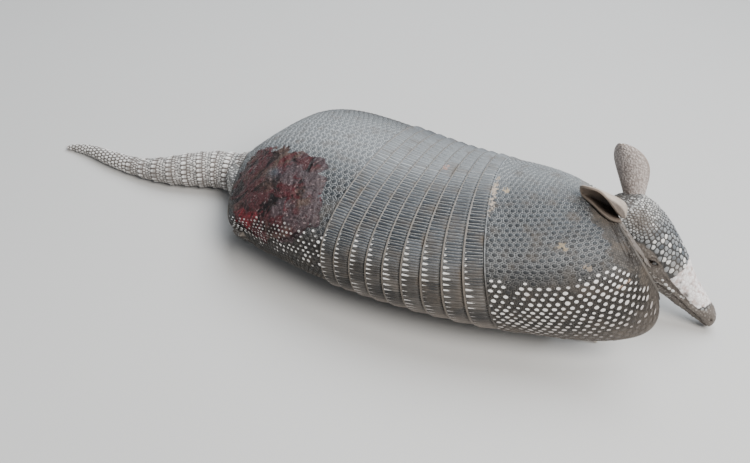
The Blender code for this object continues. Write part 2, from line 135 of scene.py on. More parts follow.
NECK_SECTIONS = (  # centre x, y, z, half width, half height
    (0.085, 0.01, 0.05, 0.034, 0.036),
    (0.115, 0.024, 0.056, 0.039, 0.041),
    (0.138, 0.0355, 0.062, 0.031, 0.035),
    (0.156, 0.048, 0.071, 0.0235, 0.0265),
    (0.176, 0.0575, 0.066, 0.0185, 0.021),
    (0.19, 0.059, 0.056, 0.012, 0.014),
)
NECK_FOLDS = (  # ahead of the shell's front edge, lift off its form, radius
    (0.0006, -0.001, 0.0017), (0.003, -0.0022, 0.0015), (0.0052, -0.004, 0.0014),
    (0.0072, -0.0066, 0.0018),
)
EARS = {  # root, tip, way it opens, half width, curl at root and tip, root depth, press
    "ear_left": ((0.1663, 0.0653, 0.0920), (0.1451, 0.0696, 0.1381), (0.40, 0.91, 0.09),
                 0.0194, 1.81, 1.01, 0.0, 1.0),
    "ear_right": ((0.1715, 0.0119, 0.1151), (0.1298, -0.0009, 0.1241), (0.17, -0.62, -0.38),
                  0.0261, 2.11, 0.39, 0.026, 0.5),
}
EAR_ROOT_SHARE = 0.45
EAR_CLEARANCE = 0.0028  # an ear laid back on the shell keeps this far off its form
EAR_MOST_LIFT = 0.024
EAR_OUTWARDS = np.array((0.3, -0.72, 0.62)) / math.hypot(0.3, 0.72, 0.62)
EAR_THICKNESS = 0.0013

# trunk and tail
TRUNK_AXIS_HEIGHT = 0.034
TRUNK_BELLY_DEPTH = 0.038
TRUNK_ROUNDNESS = 2.4
TRUNK_SECTIONS = (  # share of the shell's length, half width, top
    (-0.022, 0.0185, 0.0315),
    (0.01, 0.027, 0.0345),
    (0.06, 0.039, 0.045),
    (0.11, 0.056, 0.08),
    (0.2, 0.062, 0.11),
    (0.31, 0.065, 0.11),
    (0.5, 0.071, 0.11),
    (0.75, 0.067, 0.12),
    (0.86, 0.054, 0.104),
    (0.92, 0.042, 0.09),
)

TAIL_ROOT = (-0.157, 0.0125, 0.0236)  # where the tail leaves the trunk, under the shell's edge
TAIL_LINE = (  # centre x, y and radius
    (-0.175, 0.0094, 0.0188),
    (-0.187, 0.0066, 0.0182),
    (-0.2, 0.0025, 0.0176),
    (-0.22, -0.0085, 0.0158),
    (-0.241, -0.0185, 0.0128),
    (-0.267, -0.024, 0.0092),
    (-0.3, -0.025, 0.0074),
    (-0.329, -0.0235, 0.0055),
    (-0.349, -0.0265, 0.003),
    (-0.354, -0.029, 0.0014),
)
TAIL_RINGS = 8
TAIL_RING_LENGTH = 0.0138
RING_ROW_EDGES = (0.0, 0.19, 0.38, 0.58, 1.0)  # rows of scales along a ring, the last one its rear edge

# Sections: centre along the spine, distance to the side, height, half width, half height.
# Claws: distance from the foot's middle line, length.
LIMBS = {
    "hind": {
        "leg": ((0.125, 0.046, 0.0230, 0.0125, 0.0120), (0.20, 0.050, 0.0290, 0.0150, 0.0150),
                (0.3, 0.052, 0.03, 0.014, 0.015)),
        "foot": ((0.078, 0.050, 0.0075, 0.0085, 0.0080), (0.12, 0.049, 0.0078, 0.0115, 0.0085),
                 (0.2, 0.047, 0.007, 0.013, 0.008), (0.265, 0.046, 0.0055, 0.0125, 0.0062)),
        "claws": ((-0.0095, 0.009), (-0.0052, 0.013), (0.0, 0.015), (0.0052, 0.013), (0.0095, 0.009)),
    },
    "fore": {
        "leg": ((0.68, 0.038, 0.0220, 0.0120, 0.0130), (0.78, 0.038, 0.0190, 0.0125, 0.0130),
                (0.89, 0.036, 0.012, 0.01, 0.01)),
        "foot": ((0.865, 0.036, 0.0085, 0.0095, 0.0085), (0.92, 0.036, 0.0072, 0.0110, 0.0075),
                 (0.965, 0.037, 0.0058, 0.011, 0.006)),
        "claws": ((-0.0080, 0.012), (-0.0028, 0.019), (0.0030, 0.019), (0.0082, 0.012)),
    },
}
RIGHT_FORE_TUCK = 0.014
CLAW_RADIUS = 0.0021

WELD = 0.00003  # points nearer than this become one
FLOOR_GAP = 0.0004  # the skin's sheets stay this far off the floor before they are joined
SKIN_VOXEL = 0.0019
SCALE_SPACING = 0.0021
SCALE_RADIUS = 0.00098
SCALES_DIVIDED = 0.05  # the small scales are two pieces, in front of this x and behind it
HAIR_SPACING = 0.0034
HAIR_RADIUS = 0.00012
PATCH_REACH = 0.0025  # a scale as large as this fills its patch on the bake map


# ---- small helpers

def deselect_all():
    if bpy.context.object and bpy.context.object.mode != "OBJECT":
        bpy.ops.object.mode_set(mode="OBJECT")
    bpy.ops.object.select_all(action="DESELECT")


def make_active(piece):
    deselect_all()
    piece.select_set(True)
    bpy.context.view_layer.objects.active = piece


def apply_modifier(piece, kind, **settings):
    make_active(piece)
    modifier = piece.modifiers.new(kind.lower(), kind)
    for key, value in settings.items():
        setattr(modifier, key, value)
    bpy.ops.object.modifier_apply(modifier=modifier.name)


def repeat(piece, count, step=0.0):
    """Copy a piece, each copy a step further along Y."""
    apply_modifier(piece, "ARRAY", count=count, use_relative_offset=False, use_constant_offset=True,
                   constant_offset_displace=(0, step, 0))


def rename(piece, name):
    piece.name = name
    piece.data.name = name


def points_of(piece, kind="co"):
    points = np.empty(len(piece.data.vertices) * 3)
    piece.data.vertices.foreach_get(kind, points)
    return points.reshape(-1, 3)


def move_points(piece, points):
    piece.data.vertices.foreach_set("co", np.ascontiguousarray(points, dtype=np.float32).ravel())
    piece.data.update()


def normals_of(piece):
    return points_of(piece, "normal")


def store(piece, name, values):
    """Keep one number per point, or one for all, under a name that the materials read."""
    layer = piece.data.attributes.get(name) or piece.data.attributes.new(name, "FLOAT", "POINT")
    values = np.broadcast_to(values, len(piece.data.vertices))
    layer.data.foreach_set("value", np.ascontiguousarray(values, dtype=np.float32))


def stored(piece, name):
    values = np.zeros(len(piece.data.vertices))
    layer = piece.data.attributes.get(name)
    if layer:
        layer.data.foreach_get("value", values)
    return values


def store_uv(piece, u, v):
    """The bake map: one place per point."""
    layer = piece.data.uv_layers.get("OFBake") or piece.data.uv_layers.new(name="OFBake")
    corners = np.empty(len(piece.data.loops), dtype=np.int32)
    piece.data.loops.foreach_get("vertex_index", corners)
    layer.data.foreach_set("uv", np.stack([u, v], 1)[corners].astype(np.float32).ravel())


def delete_points(piece, doomed):
    data = bmesh.new()
    data.from_mesh(piece.data)
    data.verts.ensure_lookup_table()
    bmesh.ops.delete(data, geom=[data.verts[k] for k in np.nonzero(doomed)[0]], context="VERTS")
    data.to_mesh(piece.data)
    data.free()


def join(name, parts):
    deselect_all()
    for part in parts:
        part.select_set(True)
    bpy.context.view_layer.objects.active = parts[0]
    bpy.ops.object.join()
    rename(parts[0], name)
    return parts[0]


def smooth_shading(piece, degrees=40):
    make_active(piece)
    bpy.ops.object.shade_smooth_by_angle(angle=math.radians(degrees))


def start_editing(piece):
    """Edit mode, with all of the piece selected."""
    make_active(piece)
    bpy.ops.object.mode_set(mode="EDIT")
    bpy.ops.mesh.select_all(action="SELECT")


def add_flat_grid(name, cells_long, cells_wide):
    """A flat sheet whose x and y both run from 0 to 1."""
    deselect_all()
    bpy.ops.mesh.primitive_grid_add(x_subdivisions=cells_long, y_subdivisions=cells_wide, size=1)
    sheet = bpy.context.object
    rename(sheet, name)
    points = points_of(sheet)
    points[:, :2] += 0.5
    move_points(sheet, points)
    return sheet


def end_caps(u, cap):
    """Shares along a rolled sheet between its caps, each of them a cap long, and the points that close it."""
    return np.clip((u - cap) / (1 - 2 * cap), 0, 1), (u < 0.001) | (u > 0.999)


def add_rolled_sheet(name, cells_long, cells_wide, place):
    """A sheet rolled up into a closed body by place(share along, share round)."""
    sheet = add_flat_grid(name, cells_long, cells_wide)
    points = points_of(sheet)
    move_points(sheet, place(points[:, 0], points[:, 1]))
    start_editing(sheet)
    bpy.ops.mesh.remove_doubles(threshold=WELD)
    bpy.ops.mesh.normals_make_consistent(inside=False)
    bpy.ops.object.mode_set(mode="OBJECT")
    return sheet


def smooth_table(rows, steps=12):
    """Rows of a Catmull-Rom curve through the given rows."""
    known = [np.array(row, float) for row in rows]
    known = [2 * known[0] - known[1]] + known + [2 * known[-1] - known[-2]]
    found = []
    for before, start, end, after in zip(known, known[1:], known[2:], known[3:]):
        for step in range(steps):
            t = step / steps
            found.append(0.5 * (2 * start + (end - before) * t
                                + (2 * before - 5 * start + 4 * end - after) * t ** 2
                                + (3 * start - before - 3 * end + after) * t ** 3))
    found.append(known[-2])
    return np.array(found)


def at_value(table, value, column=1):
    """A column of a table where its first column has a value."""
    rows = np.asarray(table)
    return np.interp(value, rows[:, 0], rows[:, column])


def at_share(table, share):
    """Rows of a table at shares of its length, as columns."""
    places = np.linspace(0, 1, len(table))
    return [np.interp(share, places, table[:, column]) for column in range(table.shape[1])]


def unit(vectors):
    return vectors / np.maximum(np.linalg.norm(vectors, axis=-1, keepdims=True), 1e-12)


def ease(values, low, high):
    """0 below low, 1 above high, and a soft step between."""
    t = np.clip((values - low) / (high - low), 0, 1)
    return t * t * (3 - 2 * t)


def hill(values, middle, width):
    """A smooth bump, 1 at the middle and 0.37 a width away from it."""
    return np.exp(-((values - middle) / width) ** 2)


def scatter(seeds):
    """A repeatable number from 0 to 1 for each seed."""
    value = np.sin(np.asarray(seeds, float) * 12.9898 + 4.1) * 43758.5453
    return value - np.floor(value)


def waves(points, size, seed=0):
    """Soft uneven variation between about -1 and 1, with features of the given size."""
    total = 0.0
    for k in range(5):
        angle = 2 * math.pi * scatter([seed + k * 3.7 + j * 1.3 for j in range(4)])
        level = math.cos(angle[1])
        way = np.array((math.cos(angle[0]) * level, math.sin(angle[0]) * level, math.sin(angle[1])))
        total = total + np.sin(points @ way * 2 * math.pi / (size * (0.75 + 0.16 * k)) + angle[2])
    return total / 3.0


def pebbles(points, size, seed=0):
    """Rounded grains of about the given size: 0 in the grooves between them, 1 on their tops."""
    cell = np.floor(points / size).astype(int)
    nearest = np.full(len(points), 9.0)
    second = np.full(len(points), 9.0)
    for step in np.ndindex(3, 3, 3):
        corner = cell + np.array(step) - 1
        seeds = corner @ np.array((1.0, 57.0, 113.0)) + seed
        shake = np.stack([scatter(seeds + shift) for shift in (0.3, 7.7, 19.1)], 1)
        middle = (corner + shake) * size
        distance = np.linalg.norm(points - middle, axis=1) / size
        second = np.minimum(second, np.maximum(nearest, distance))
        nearest = np.minimum(nearest, distance)
    return ease(second - nearest, 0.0, 0.3) * (1 - 0.35 * np.clip(nearest, 0, 1))


def dress(piece, finish, *nodes, slot_name=None):
    """Give a finished piece its material, its body and the solids that it stands for."""
    piece.data.materials.clear()
    piece.data.materials.append(finish)
    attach(piece, BODY)
    if nodes:
        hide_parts(*nodes)


# ---- form of the shell

FINE = np.linspace(-0.1, 1.15, 501)
HEADINGS = HEADING_MIDDLE + HEADING_TURN * (FINE - 0.5) + HEADING_CURL * (FINE - 0.5) ** 2
FINE_STEP = (FINE[1] - FINE[0]) * SHELL_LENGTH
SPINE_X = np.cumsum(np.cos(HEADINGS)) * FINE_STEP
SPINE_Y = np.cumsum(np.sin(HEADINGS)) * FINE_STEP
SPINE_X = SPINE_X - np.interp(0.5, FINE, SPINE_X)
SPINE_Y = SPINE_Y - np.interp(0.5, FINE, SPINE_Y)
WIDTH_CURVE = np.polyfit(STATIONS, HALF_WIDTHS, 4)
HEIGHT_CURVE = np.polyfit(STATIONS, HEIGHTS, 4)


def spine_at(along):
    """The spine's x, y and heading at a share of the shell's length."""
    return (np.interp(along, FINE, values) for values in (SPINE_X, SPINE_Y, HEADINGS))


def roll_at(along):
    """How far the shell leans over at a share of its length."""
    return REAR_ROLL * (1 - along) + FRONT_ROLL * along


def beside_spine(along, to_left, height):
    """Points at a distance to the left of the spine and at a height."""
    x, y, heading = spine_at(along)
    return np.stack([x - np.sin(heading) * to_left, y + np.cos(heading) * to_left, height + 0 * x], -1)


def signed_power(value, exponent):
    return np.sign(value) * np.abs(value) ** exponent


def corner_cut(depth, corner):
    """What a rounded corner takes off the shell's reach, at a depth into the corner."""
    share = np.clip(depth / corner[0], 0, 1)
    return corner[1] * (1 - np.sqrt(1 - share * share))


def edge_reach(along, around):
    """How far round the form the shell goes, 1 being SIDE_ANGLE."""
    roll = roll_at(along)
    reach = 1 + LEVELLING * np.maximum(np.abs(roll) * np.sign(roll * around), 0)
    reach = reach - corner_cut(along - (1 - FRONT_CORNER[0]), FRONT_CORNER)
    return reach - corner_cut(REAR_CORNER[0] - along, REAR_CORNER)


def form_points(along, turned):
    """Points on the form of the shell; turned runs from -1 at SIDE_ANGLE on the right to 1 on the left."""
    x, y, heading = spine_at(along)
    half_width = np.polyval(WIDTH_CURVE, along)
    height = np.polyval(HEIGHT_CURVE, along)
    turn = turned * SIDE_ANGLE
    across = half_width * signed_power(np.sin(turn), 2 / ROUNDNESS)
    rise = signed_power(np.cos(turn), 2 / ROUNDNESS)
    rise = rise * np.where(rise > 0, height - WIDEST_HEIGHT, WIDEST_HEIGHT)
    front = np.clip((along - 0.55) / 0.45, 0, 1)
    rear = np.clip((0.45 - along) / 0.45, 0, 1)
    lobe = np.where(turned < 0, FRONT_LOBE_RIGHT, FRONT_LOBE_LEFT)
    ahead = (lobe * front ** 1.5 + REAR_SWEEP * rear ** 1.5) * np.abs(turned) ** SWEEP_POWER
    ahead = ahead + (LEAN_MIDDLE + LEAN_CHANGE * (along - 0.5)) * rise
    roll = roll_at(along)
    roll = roll * (1 - LEFT_EASE * np.clip((turned - 0.35) / 0.5, 0, 1))
    side = across * np.cos(roll) - rise * np.sin(roll)
    level = WIDEST_HEIGHT + across * np.sin(roll) + rise * np.cos(roll)
    return np.stack([x + np.cos(heading) * ahead - np.sin(heading) * side,
                     y + np.sin(heading) * ahead + np.cos(heading) * side, level], -1)


def on_shell(along, around, lift):
    """Points on the form of the shell, lifted off it along its normal."""
    turned = around * edge_reach(along, around)
    small = 0.006
    lengthways = form_points(along + small, turned) - form_points(along - small, turned)
    sideways = form_points(along, turned + small) - form_points(along, turned - small)
    normal = unit(np.cross(lengthways, sideways))
    return form_points(along, turned) + normal * np.asarray(lift)[..., None]


BAND_EDGES = [(BAND_START + BAND_PITCH * k) / SHELL_LENGTH for k in range(BAND_COUNT + 1)]
PLATES = {  # from and to, as shares of the shell's length
    "pelvic_shield": (0.0, BAND_EDGES[0]),
    "scapular_shield": (BAND_EDGES[-1], 1.0),
}
for k in range(BAND_COUNT):
    PLATES["band_%d" % (k + 1)] = (BAND_EDGES[k], BAND_EDGES[k + 1])


SHIELD_FIELDS = {  # from, to and pitch of the scutes, in metres from the rear edge of the shell
    "pelvic_shield": (0.0026, BAND_START - 0.0006, PELVIC_SCUTE_PITCH),
    "scapular_shield": (BAND_END + 0.0012, SHELL_LENGTH - 0.0022, SHOULDER_SCUTE_PITCH),
}
SORE_OUTLINE = (  # the dried wound on the rump, along and around the shell
    (0.062, -0.03), (0.205, -0.05), (0.305, -0.11), (0.345, -0.26), (0.372, -0.435), (0.297, -0.6),
    (0.138, -0.745), (0.045, -0.6), (0.007, -0.23),
)
SCRAPES = (  # place along and around the shell, half sizes, colour
    ((0.738, -0.13), (0.0085, 0.115), (0.52, 0.43, 0.34)),
    ((0.765, -0.1), (0.01, 0.02), (0.48, 0.38, 0.26)),
    ((0.593, 0.018), (0.01, 0.018), (0.42, 0.28, 0.24)),
    ((0.865, -0.41), (0.012, 0.022), (0.34, 0.27, 0.18)),
    ((0.9, -0.527), (0.009, 0.018), (0.27, 0.22, 0.17)),
    ((0.948, -0.675), (0.016, 0.008), (0.62, 0.44, 0.33)),
)


def laid_flat(along, around):
    """Places on the shell in metres, laid flat, with a third column of zeros."""
    return np.stack([along * SHELL_LENGTH, around * HALF_GIRTH, 0 * along], 1)


def sore_depth(along, around):
    """How far inside the wound a point lies, in metres; below zero outside it."""
    x = np.ravel(along + 0 * around) * SHELL_LENGTH
    y = np.ravel(around + 0 * along) * HALF_GIRTH
    nearest = np.full(len(x), 9.0)
    inside = np.zeros(len(x), bool)
    corners = [(a * SHELL_LENGTH, b * HALF_GIRTH) for a, b in SORE_OUTLINE]
    for (ax, ay), (bx, by) in zip(corners, corners[1:] + corners[:1]):
        share = (x - ax) * (bx - ax) + (y - ay) * (by - ay)
        share = np.clip(share / ((bx - ax) ** 2 + (by - ay) ** 2), 0, 1)
        nearest = np.minimum(nearest, np.hypot(x - ax - share * (bx - ax), y - ay - share * (by - ay)))
        crosses = ((ay > y) != (by > y)) & (x < (bx - ax) * (y - ay) / (by - ay) + ax)
        inside ^= crosses
    return np.where(inside, nearest, -nearest)


def front_creases(along, around):
    """Wrinkles that run beside the shoulder shield's front edge: -1 in their bottoms, 1 on their tops."""
    from_front = (1.0 - along) * SHELL_LENGTH
    wave = np.sin(2 * math.pi * from_front / 0.003 + 14 * np.abs(around))
    reach = (1 - ease(from_front, 0.0085, 0.0125)) * ease(np.abs(around), 0.16, 0.26)
    return wave * reach * (1 - ease(np.abs(around), 0.56, 0.72))


def plate_lift(name, along, around):
    """How the skin of a plate lies on the form: bands rise to the rear, free edges roll down."""
    start, end = PLATES[name]
    share = (along - start) / (end - start)
    edge_side = (1 - np.abs(around)) * HALF_GIRTH
    lift = -0.0014 * (1 - ease(edge_side, 0.0, 0.005))
    if name.startswith("band"):
        lift = lift + BAND_RAISE * (1 - share) - 0.0006 * ease(share, 0.7, 1.0)
    if name == "scapular_shield":
        lift = lift + BAND_RAISE * 0.8 * (1 - ease((along - start) * SHELL_LENGTH, 0.0, 0.014))
        lift = lift - 0.0012 * ease((along - end) * SHELL_LENGTH, -0.004, 0.0)
        lift = lift + 0.00065 * front_creases(along, around)
    if name == "pelvic_shield":
        lift = lift - 0.0012 * ease((start - along) * SHELL_LENGTH, -0.004, 0.0)
    flat = laid_flat(along, around)
    scab = 0.0004 * waves(flat, 0.013, 2) + 0.00025 * waves(flat, 0.006, 6)
    return lift + scab * ease(sore_depth(along, around), -0.002, 0.006)


def spot_strength(along, around):
    """How strongly a scute carries a white spot: along the flanks, below a line that differs by plate."""
    side = np.abs(around)
    on_pelvis = along < BAND_EDGES[0]
    line = np.where(on_pelvis, 0.47 - 0.08 * along, np.where(along < BAND_EDGES[-1], 0.39, 0.535))
    line = line + 0.16 * ease(along, 0.94, 0.99)
    uneven = 0.72 + 0.28 * waves(laid_flat(along, around), 0.021, 12)
    strength = ease(side, line - 0.015, line + 0.075) * (1 - 0.55 * ease(side, 0.8, 0.95))
    faint = np.where(on_pelvis, 0.88 - 0.85 * ease(side, 0.66, 0.84), 1.0)
    faint = faint * np.where(around > 0, 0.75, 1.0)
    return np.clip(strength * faint * uneven * 1.25, 0, 1)


# ---- materials

class Finish:
    """One material, with short names for the nodes it is made of."""

    def __init__(self, name, roughness=0.6):
        self.material = bpy.data.materials.new(name)
        self.material.use_nodes = True
        self.tree = self.material.node_tree
        self.shader = self.tree.nodes["Principled BSDF"]
        self.shader.inputs["Roughness"].default_value = roughness
        self.place = self.new("TexCoord").outputs["Object"]

    def put(self, socket, value):
        if isinstance(value, bpy.types.NodeSocket):
            self.tree.links.new(value, socket)
        elif isinstance(value, tuple):
            socket.default_value = (*value, 1.0) if socket.type == "RGBA" else value
        else:
            socket.default_value = value

    def new(self, kind, **values):
        """A node, with what goes into its inputs."""
        node = self.tree.nodes.new("ShaderNode" + kind)
        for name, value in values.items():
            self.put(node.inputs[name], value)
        return node

    def number(self, name):
        node = self.new("Attribute")
        node.attribute_name = name
        return node.outputs["Fac"]

    def math(self, operation, first, second=0.0):
        node = self.new("Math")
        node.operation = operation
        self.put(node.inputs[0], first)
        self.put(node.inputs[1], second)
        return node.outputs[0]

    def plus(self, first, second):
        return self.math("ADD", first, second)

    def times(self, first, second):
        return self.math("MULTIPLY", first, second)

    def away_from(self, value, middle):
        """How far a number is from a middle, either way."""
        return self.math("ABSOLUTE", self.math("SUBTRACT", value, middle))

    def noise(self, size, detail=3.0, stretch=None, swirl=0.0):
        """Cloudy values round 0.5 with features of about the given size."""
        place = self.place
        if stretch:
            place = self.new("Mapping", Vector=place, Scale=stretch).outputs["Vector"]
        node = self.new("TexNoise", Vector=place, Scale=1 / size, Detail=detail, Distortion=swirl)
        return node.outputs["Fac"]

    def cells(self, size, feature="F1"):
        """Distance to the nearest of many scattered points, in shares of the size."""
        node = self.new("TexVoronoi", Vector=self.place, Scale=1 / size)
        node.feature = feature
        return node.outputs["Distance"]

    def step(self, value, low, high, start=0.0, end=1.0):
        limits = {"From Min": low, "From Max": high, "To Min": start, "To Max": end}
        node = self.new("MapRange", Value=value, **limits)
        node.interpolation_type = "SMOOTHSTEP"
        return node.outputs["Result"]

    def mix(self, share, first, second):
        node = self.new("Mix")
        node.data_type = "RGBA"
        self.put(node.inputs[0], share)
        self.put(node.inputs[6], first)
        self.put(node.inputs[7], second)
        return node.outputs[2]

    def blotches(self, colour, tint, noise, low, high, most=1.0):
        """A colour with blotches of a tint; the noise is its size, its detail and, if any, its swirl."""
        size, detail, swirl = (*noise, 0.0)[:3]
        share = self.step(self.noise(size, detail, None, swirl), low, high, 0.0, most)
        return self.mix(share, colour, tint)

    def bump(self, height, distance, strength=1.0):
        node = self.new("Bump", Strength=strength, Distance=distance, Height=height)
        outwards = self.shader.inputs["Normal"]
        if outwards.is_linked:
            self.put(node.inputs["Normal"], outwards.links[0].from_socket)
        self.put(outwards, node.outputs["Normal"])

    def done(self, colour, roughness=None):
        self.put(self.shader.inputs["Base Color"], colour)
        if roughness is not None:
            self.put(self.shader.inputs["Roughness"], roughness)
        return self.material


def scute_colour(kit, grain, dust):
    """Horny scutes in a paler net of skin: blue-grey on the back, brown with white spots on the flanks."""
    names = ("crown", "chance", "flank", "band", "rim")
    crown, chance, flank, band, rim = (kit.number(name) for name in names)
    cloud = kit.noise(0.05, 4.0)
    from_midline = kit.math("ABSOLUTE", kit.number("around"))
    back_horn = kit.mix(band, kit.mix(chance, (0.014, 0.017, 0.02), (0.05, 0.056, 0.062)),
                        kit.mix(chance, (0.029, 0.034, 0.04), (0.092, 0.1, 0.11)))
    # The bands' flank colours here and in side_net are lighter than the shields', partly as painted bounce
    # light from the floor.
    side_horn = kit.mix(band, kit.mix(chance, (0.014, 0.013, 0.012), (0.05, 0.045, 0.04)),
                        kit.mix(chance, (0.04, 0.037, 0.034), (0.135, 0.122, 0.109)))
    horn = kit.mix(flank, back_horn, side_horn)
    horn = kit.blotches(horn, (0.02, 0.022, 0.025), (0.009, 4.0), 0.4, 0.72, 0.6)
    back_net = kit.mix(cloud, (0.15, 0.155, 0.16), (0.42, 0.43, 0.43))
    side_net = kit.mix(band, kit.mix(cloud, (0.05, 0.044, 0.038), (0.14, 0.122, 0.106)),
                       kit.mix(cloud, (0.1, 0.088, 0.078), (0.27, 0.238, 0.208)))
    net = kit.mix(flank, kit.mix(band, back_net, (0.36, 0.36, 0.35)), side_net)
    speck = kit.mix(flank, (0.085, 0.084, 0.082), (0.045, 0.04, 0.036))
    net = kit.mix(kit.step(grain, 0.35, 0.65, 0.0, 0.6), net, speck)
    colour = kit.mix(kit.step(crown, 0.04, 0.34), net, horn)
    raised = kit.times(chance, kit.step(crown, 0.0, 0.5))
    pebbled = kit.mix(raised, (0.018, 0.015, 0.013), (0.15, 0.132, 0.114))
    pebbled = kit.blotches(pebbled, (0.038, 0.034, 0.032), (0.007, 4.0), 0.42, 0.66, 0.7)
    colour = kit.mix(kit.number("granule"), colour, pebbled)
    # Painted shade: the bottoms of the wrinkles by the shoulder shield's front edge are painted near black.
    colour = kit.mix(kit.number("painted_crease_shade"), colour, (0.02, 0.016, 0.014))
    # Painted highlight: a pale blue-grey sheen of sky light along the top of the back, just left of the
    # midline, strongest on the skin between the scutes.
    near_crest = kit.step(kit.away_from(kit.number("around"), 0.14), 0.05, 0.36, 0.46, 0.0)
    painted_sky_sheen = kit.times(near_crest, kit.step(crown, 0.1, 0.5, 1.0, 0.55))
    colour = kit.mix(painted_sky_sheen, colour, kit.mix(grain, (0.42, 0.46, 0.48), (0.86, 0.88, 0.89)))
    pale = kit.mix(grain, (0.62, 0.59, 0.56), (1.0, 0.98, 0.95))
    pale = kit.mix(kit.step(from_midline, 0.62, 0.92, 0.0, 0.55), pale, (0.46, 0.38, 0.35))
    spotted = kit.plus(kit.number("white"), kit.times(grain, 0.3))
    colour = kit.mix(kit.step(spotted, 0.46, 0.74), colour, pale)
    lit = kit.plus(kit.times(dust, 0.6), kit.times(crown, 0.3))
    colour = kit.mix(rim, colour, kit.mix(lit, (0.075, 0.06, 0.048), (0.36, 0.315, 0.265)))
    settled = kit.times(kit.step(dust, 0.48, 0.74), kit.number("dirt"))
    colour = kit.mix(settled, colour, kit.mix(grain, (0.07, 0.054, 0.042), (0.19, 0.155, 0.122)))
    # The lower flank: earth-brown, with its colours brightened as painted bounce light from the floor, most
    # on the bands.
    low_earth_and_bounce_light = kit.mix(band, kit.mix(dust, (0.09, 0.076, 0.066), (0.24, 0.204, 0.174)),
                        kit.mix(dust, (0.175, 0.146, 0.126), (0.41, 0.35, 0.302)))
    return kit.mix(kit.step(from_midline, 0.78, 0.95, 0.0, 0.62), colour, low_earth_and_bounce_light)


def scraped(kit, colour):
    """The worn and stained places of the shell."""
    for place, half_size, tint in SCRAPES:
        away = [kit.math("DIVIDE", kit.math("SUBTRACT", kit.number(name), middle), half)
                for name, middle, half in zip(("along", "around"), place, half_size)]
        reach = kit.plus(*(kit.math("POWER", part, 2.0) for part in away))
        ragged = kit.plus(reach, kit.step(kit.noise(0.003, 5.0), 0.35, 0.65, -0.5, 1.3))
        colour = kit.mix(kit.step(ragged, 0.55, 1.15, 0.85, 0.0), colour, tint)
    return colour


def wound_colour(kit, grain, folds):
    """Dried blood and skin: dark folds whose bottoms are painted shade, brown and plum patches, a bruise, red
    where it is freshest, and pale flecks painted as highlights.
    """
    # Painted shade: the crust is darkest, near black, where the folds that the bump raises are lowest.
    crust = kit.mix(kit.step(folds, 0.4, 0.52), (0.005, 0.0025, 0.0028), (0.07, 0.021, 0.023))
    brown = kit.mix(kit.step(folds, 0.42, 0.58), (0.028, 0.015, 0.012), (0.105, 0.07, 0.054))
    crust = kit.blotches(crust, brown, (0.024, 4.0), 0.46, 0.62, 0.9)
    plum = kit.mix(kit.noise(0.0025, 4.0), (0.034, 0.023, 0.026), (0.12, 0.088, 0.094))
    forward = kit.plus(kit.number("along"), kit.step(kit.noise(0.018, 4.0), 0.3, 0.7, -0.07, 0.07))
    crust = kit.mix(kit.step(forward, 0.235, 0.285, 0.0, 0.85), crust, plum)
    crust = kit.blotches(crust, (0.095, 0.01, 0.015), (0.019, 6.0, 1.2), 0.58, 0.64, 0.65)
    fresh = kit.plus(kit.number("fresh"), kit.step(kit.noise(0.009, 6.0), 0.3, 0.7, -0.4, 0.4))
    red = kit.blotches((0.06, 0.007, 0.01), (0.19, 0.02, 0.027), (0.004, 5.0), 0.35, 0.55)
    crust = kit.mix(kit.step(fresh, 0.35, 0.6, 0.0, 0.92), crust, red)
    bruise = kit.mix(kit.step(grain, 0.35, 0.65), (0.026, 0.036, 0.05), (0.1, 0.125, 0.155))
    crust = kit.mix(kit.number("bruise"), crust, bruise)
    crust = kit.mix(kit.step(kit.noise(0.0016, 4.0), 0.36, 0.56, 0.45, 0.0), crust, (0.008, 0.004, 0.004))
    # Painted highlights: pale pinkish flecks over the crust.
    return kit.blotches(crust, (0.34, 0.25, 0.24), (0.0021, 3.0), 0.62, 0.7, 0.6)


def shell_finish():
    """The scutes and the skin between them, with their marks, their dirt and a dried wound on the rump."""
    kit = Finish("scutes", 0.5)
    kit.shader.inputs["Specular IOR Level"].default_value = 0.3
    grain = kit.noise(0.0012, 3.0)
    dust = kit.noise(0.012, 5.0)
    colour = scraped(kit, scute_colour(kit, grain, dust))
    folds = kit.noise(0.026, 7.0, None, 2.2)
    ragged = kit.plus(kit.number("sore"), kit.step(kit.noise(0.014, 7.0), 0.25, 0.75, -0.55, 0.55))
    spared = kit.times(kit.step(kit.number("white"), 0.4, 0.7), 0.55)
    open_share = kit.times(kit.step(ragged, -0.06, 0.1), kit.math("SUBTRACT", 0.97, spared))
    colour = kit.mix(open_share, colour, wound_colour(kit, grain, folds))
    kit.bump(grain, 0.00018, 0.6)
    well_inside = kit.step(kit.number("sore"), -0.05, 0.45)
    kit.bump(kit.times(well_inside, folds), 0.0035, 1.0)
    kit.bump(kit.times(well_inside, kit.noise(0.004, 7.0)), 0.0018, 1.0)
    rough = kit.step(dust, 0.35, 0.75, 0.36, 0.62)
    return kit.done(colour, kit.plus(rough, kit.times(kit.number("white"), -0.08)))


# ---- shell

shell_material = shell_finish()


def store_shell(piece, along, around, crown, white=0.0, chance=0.0, rim=0.0, dirt=1.0, granule=0.0):
    """What the shell's material reads at each point."""
    side = np.abs(around)
    top = np.where(along < BAND_EDGES[0], 0.44, 0.5)
    banded = (along >= BAND_EDGES[0]) & (along < BAND_EDGES[-1])
    marks = {
        "band": banded, "granule": granule, "crown": crown, "white": white, "chance": chance, "rim": rim,
        "dirt": dirt, "along": along, "around": around,
        # painted shade in the bottoms of the front wrinkles
        "painted_crease_shade": 0.92 * ease(-front_creases(along, around), 0.1, 0.7),
        "flank": ease(side, top - 0.06, top + 0.16),
        "sore": np.clip(sore_depth(along, around) / 0.010, -2, 2),
        "fresh": 1.15 * hill(along, 0.082, 0.085) * hill(around, -0.505, 0.075),
        "bruise": 0.8 * hill(along, 0.170, 0.022) * hill(around, -0.195, 0.030),
    }
    for word, values in marks.items():
        store(piece, word, values)


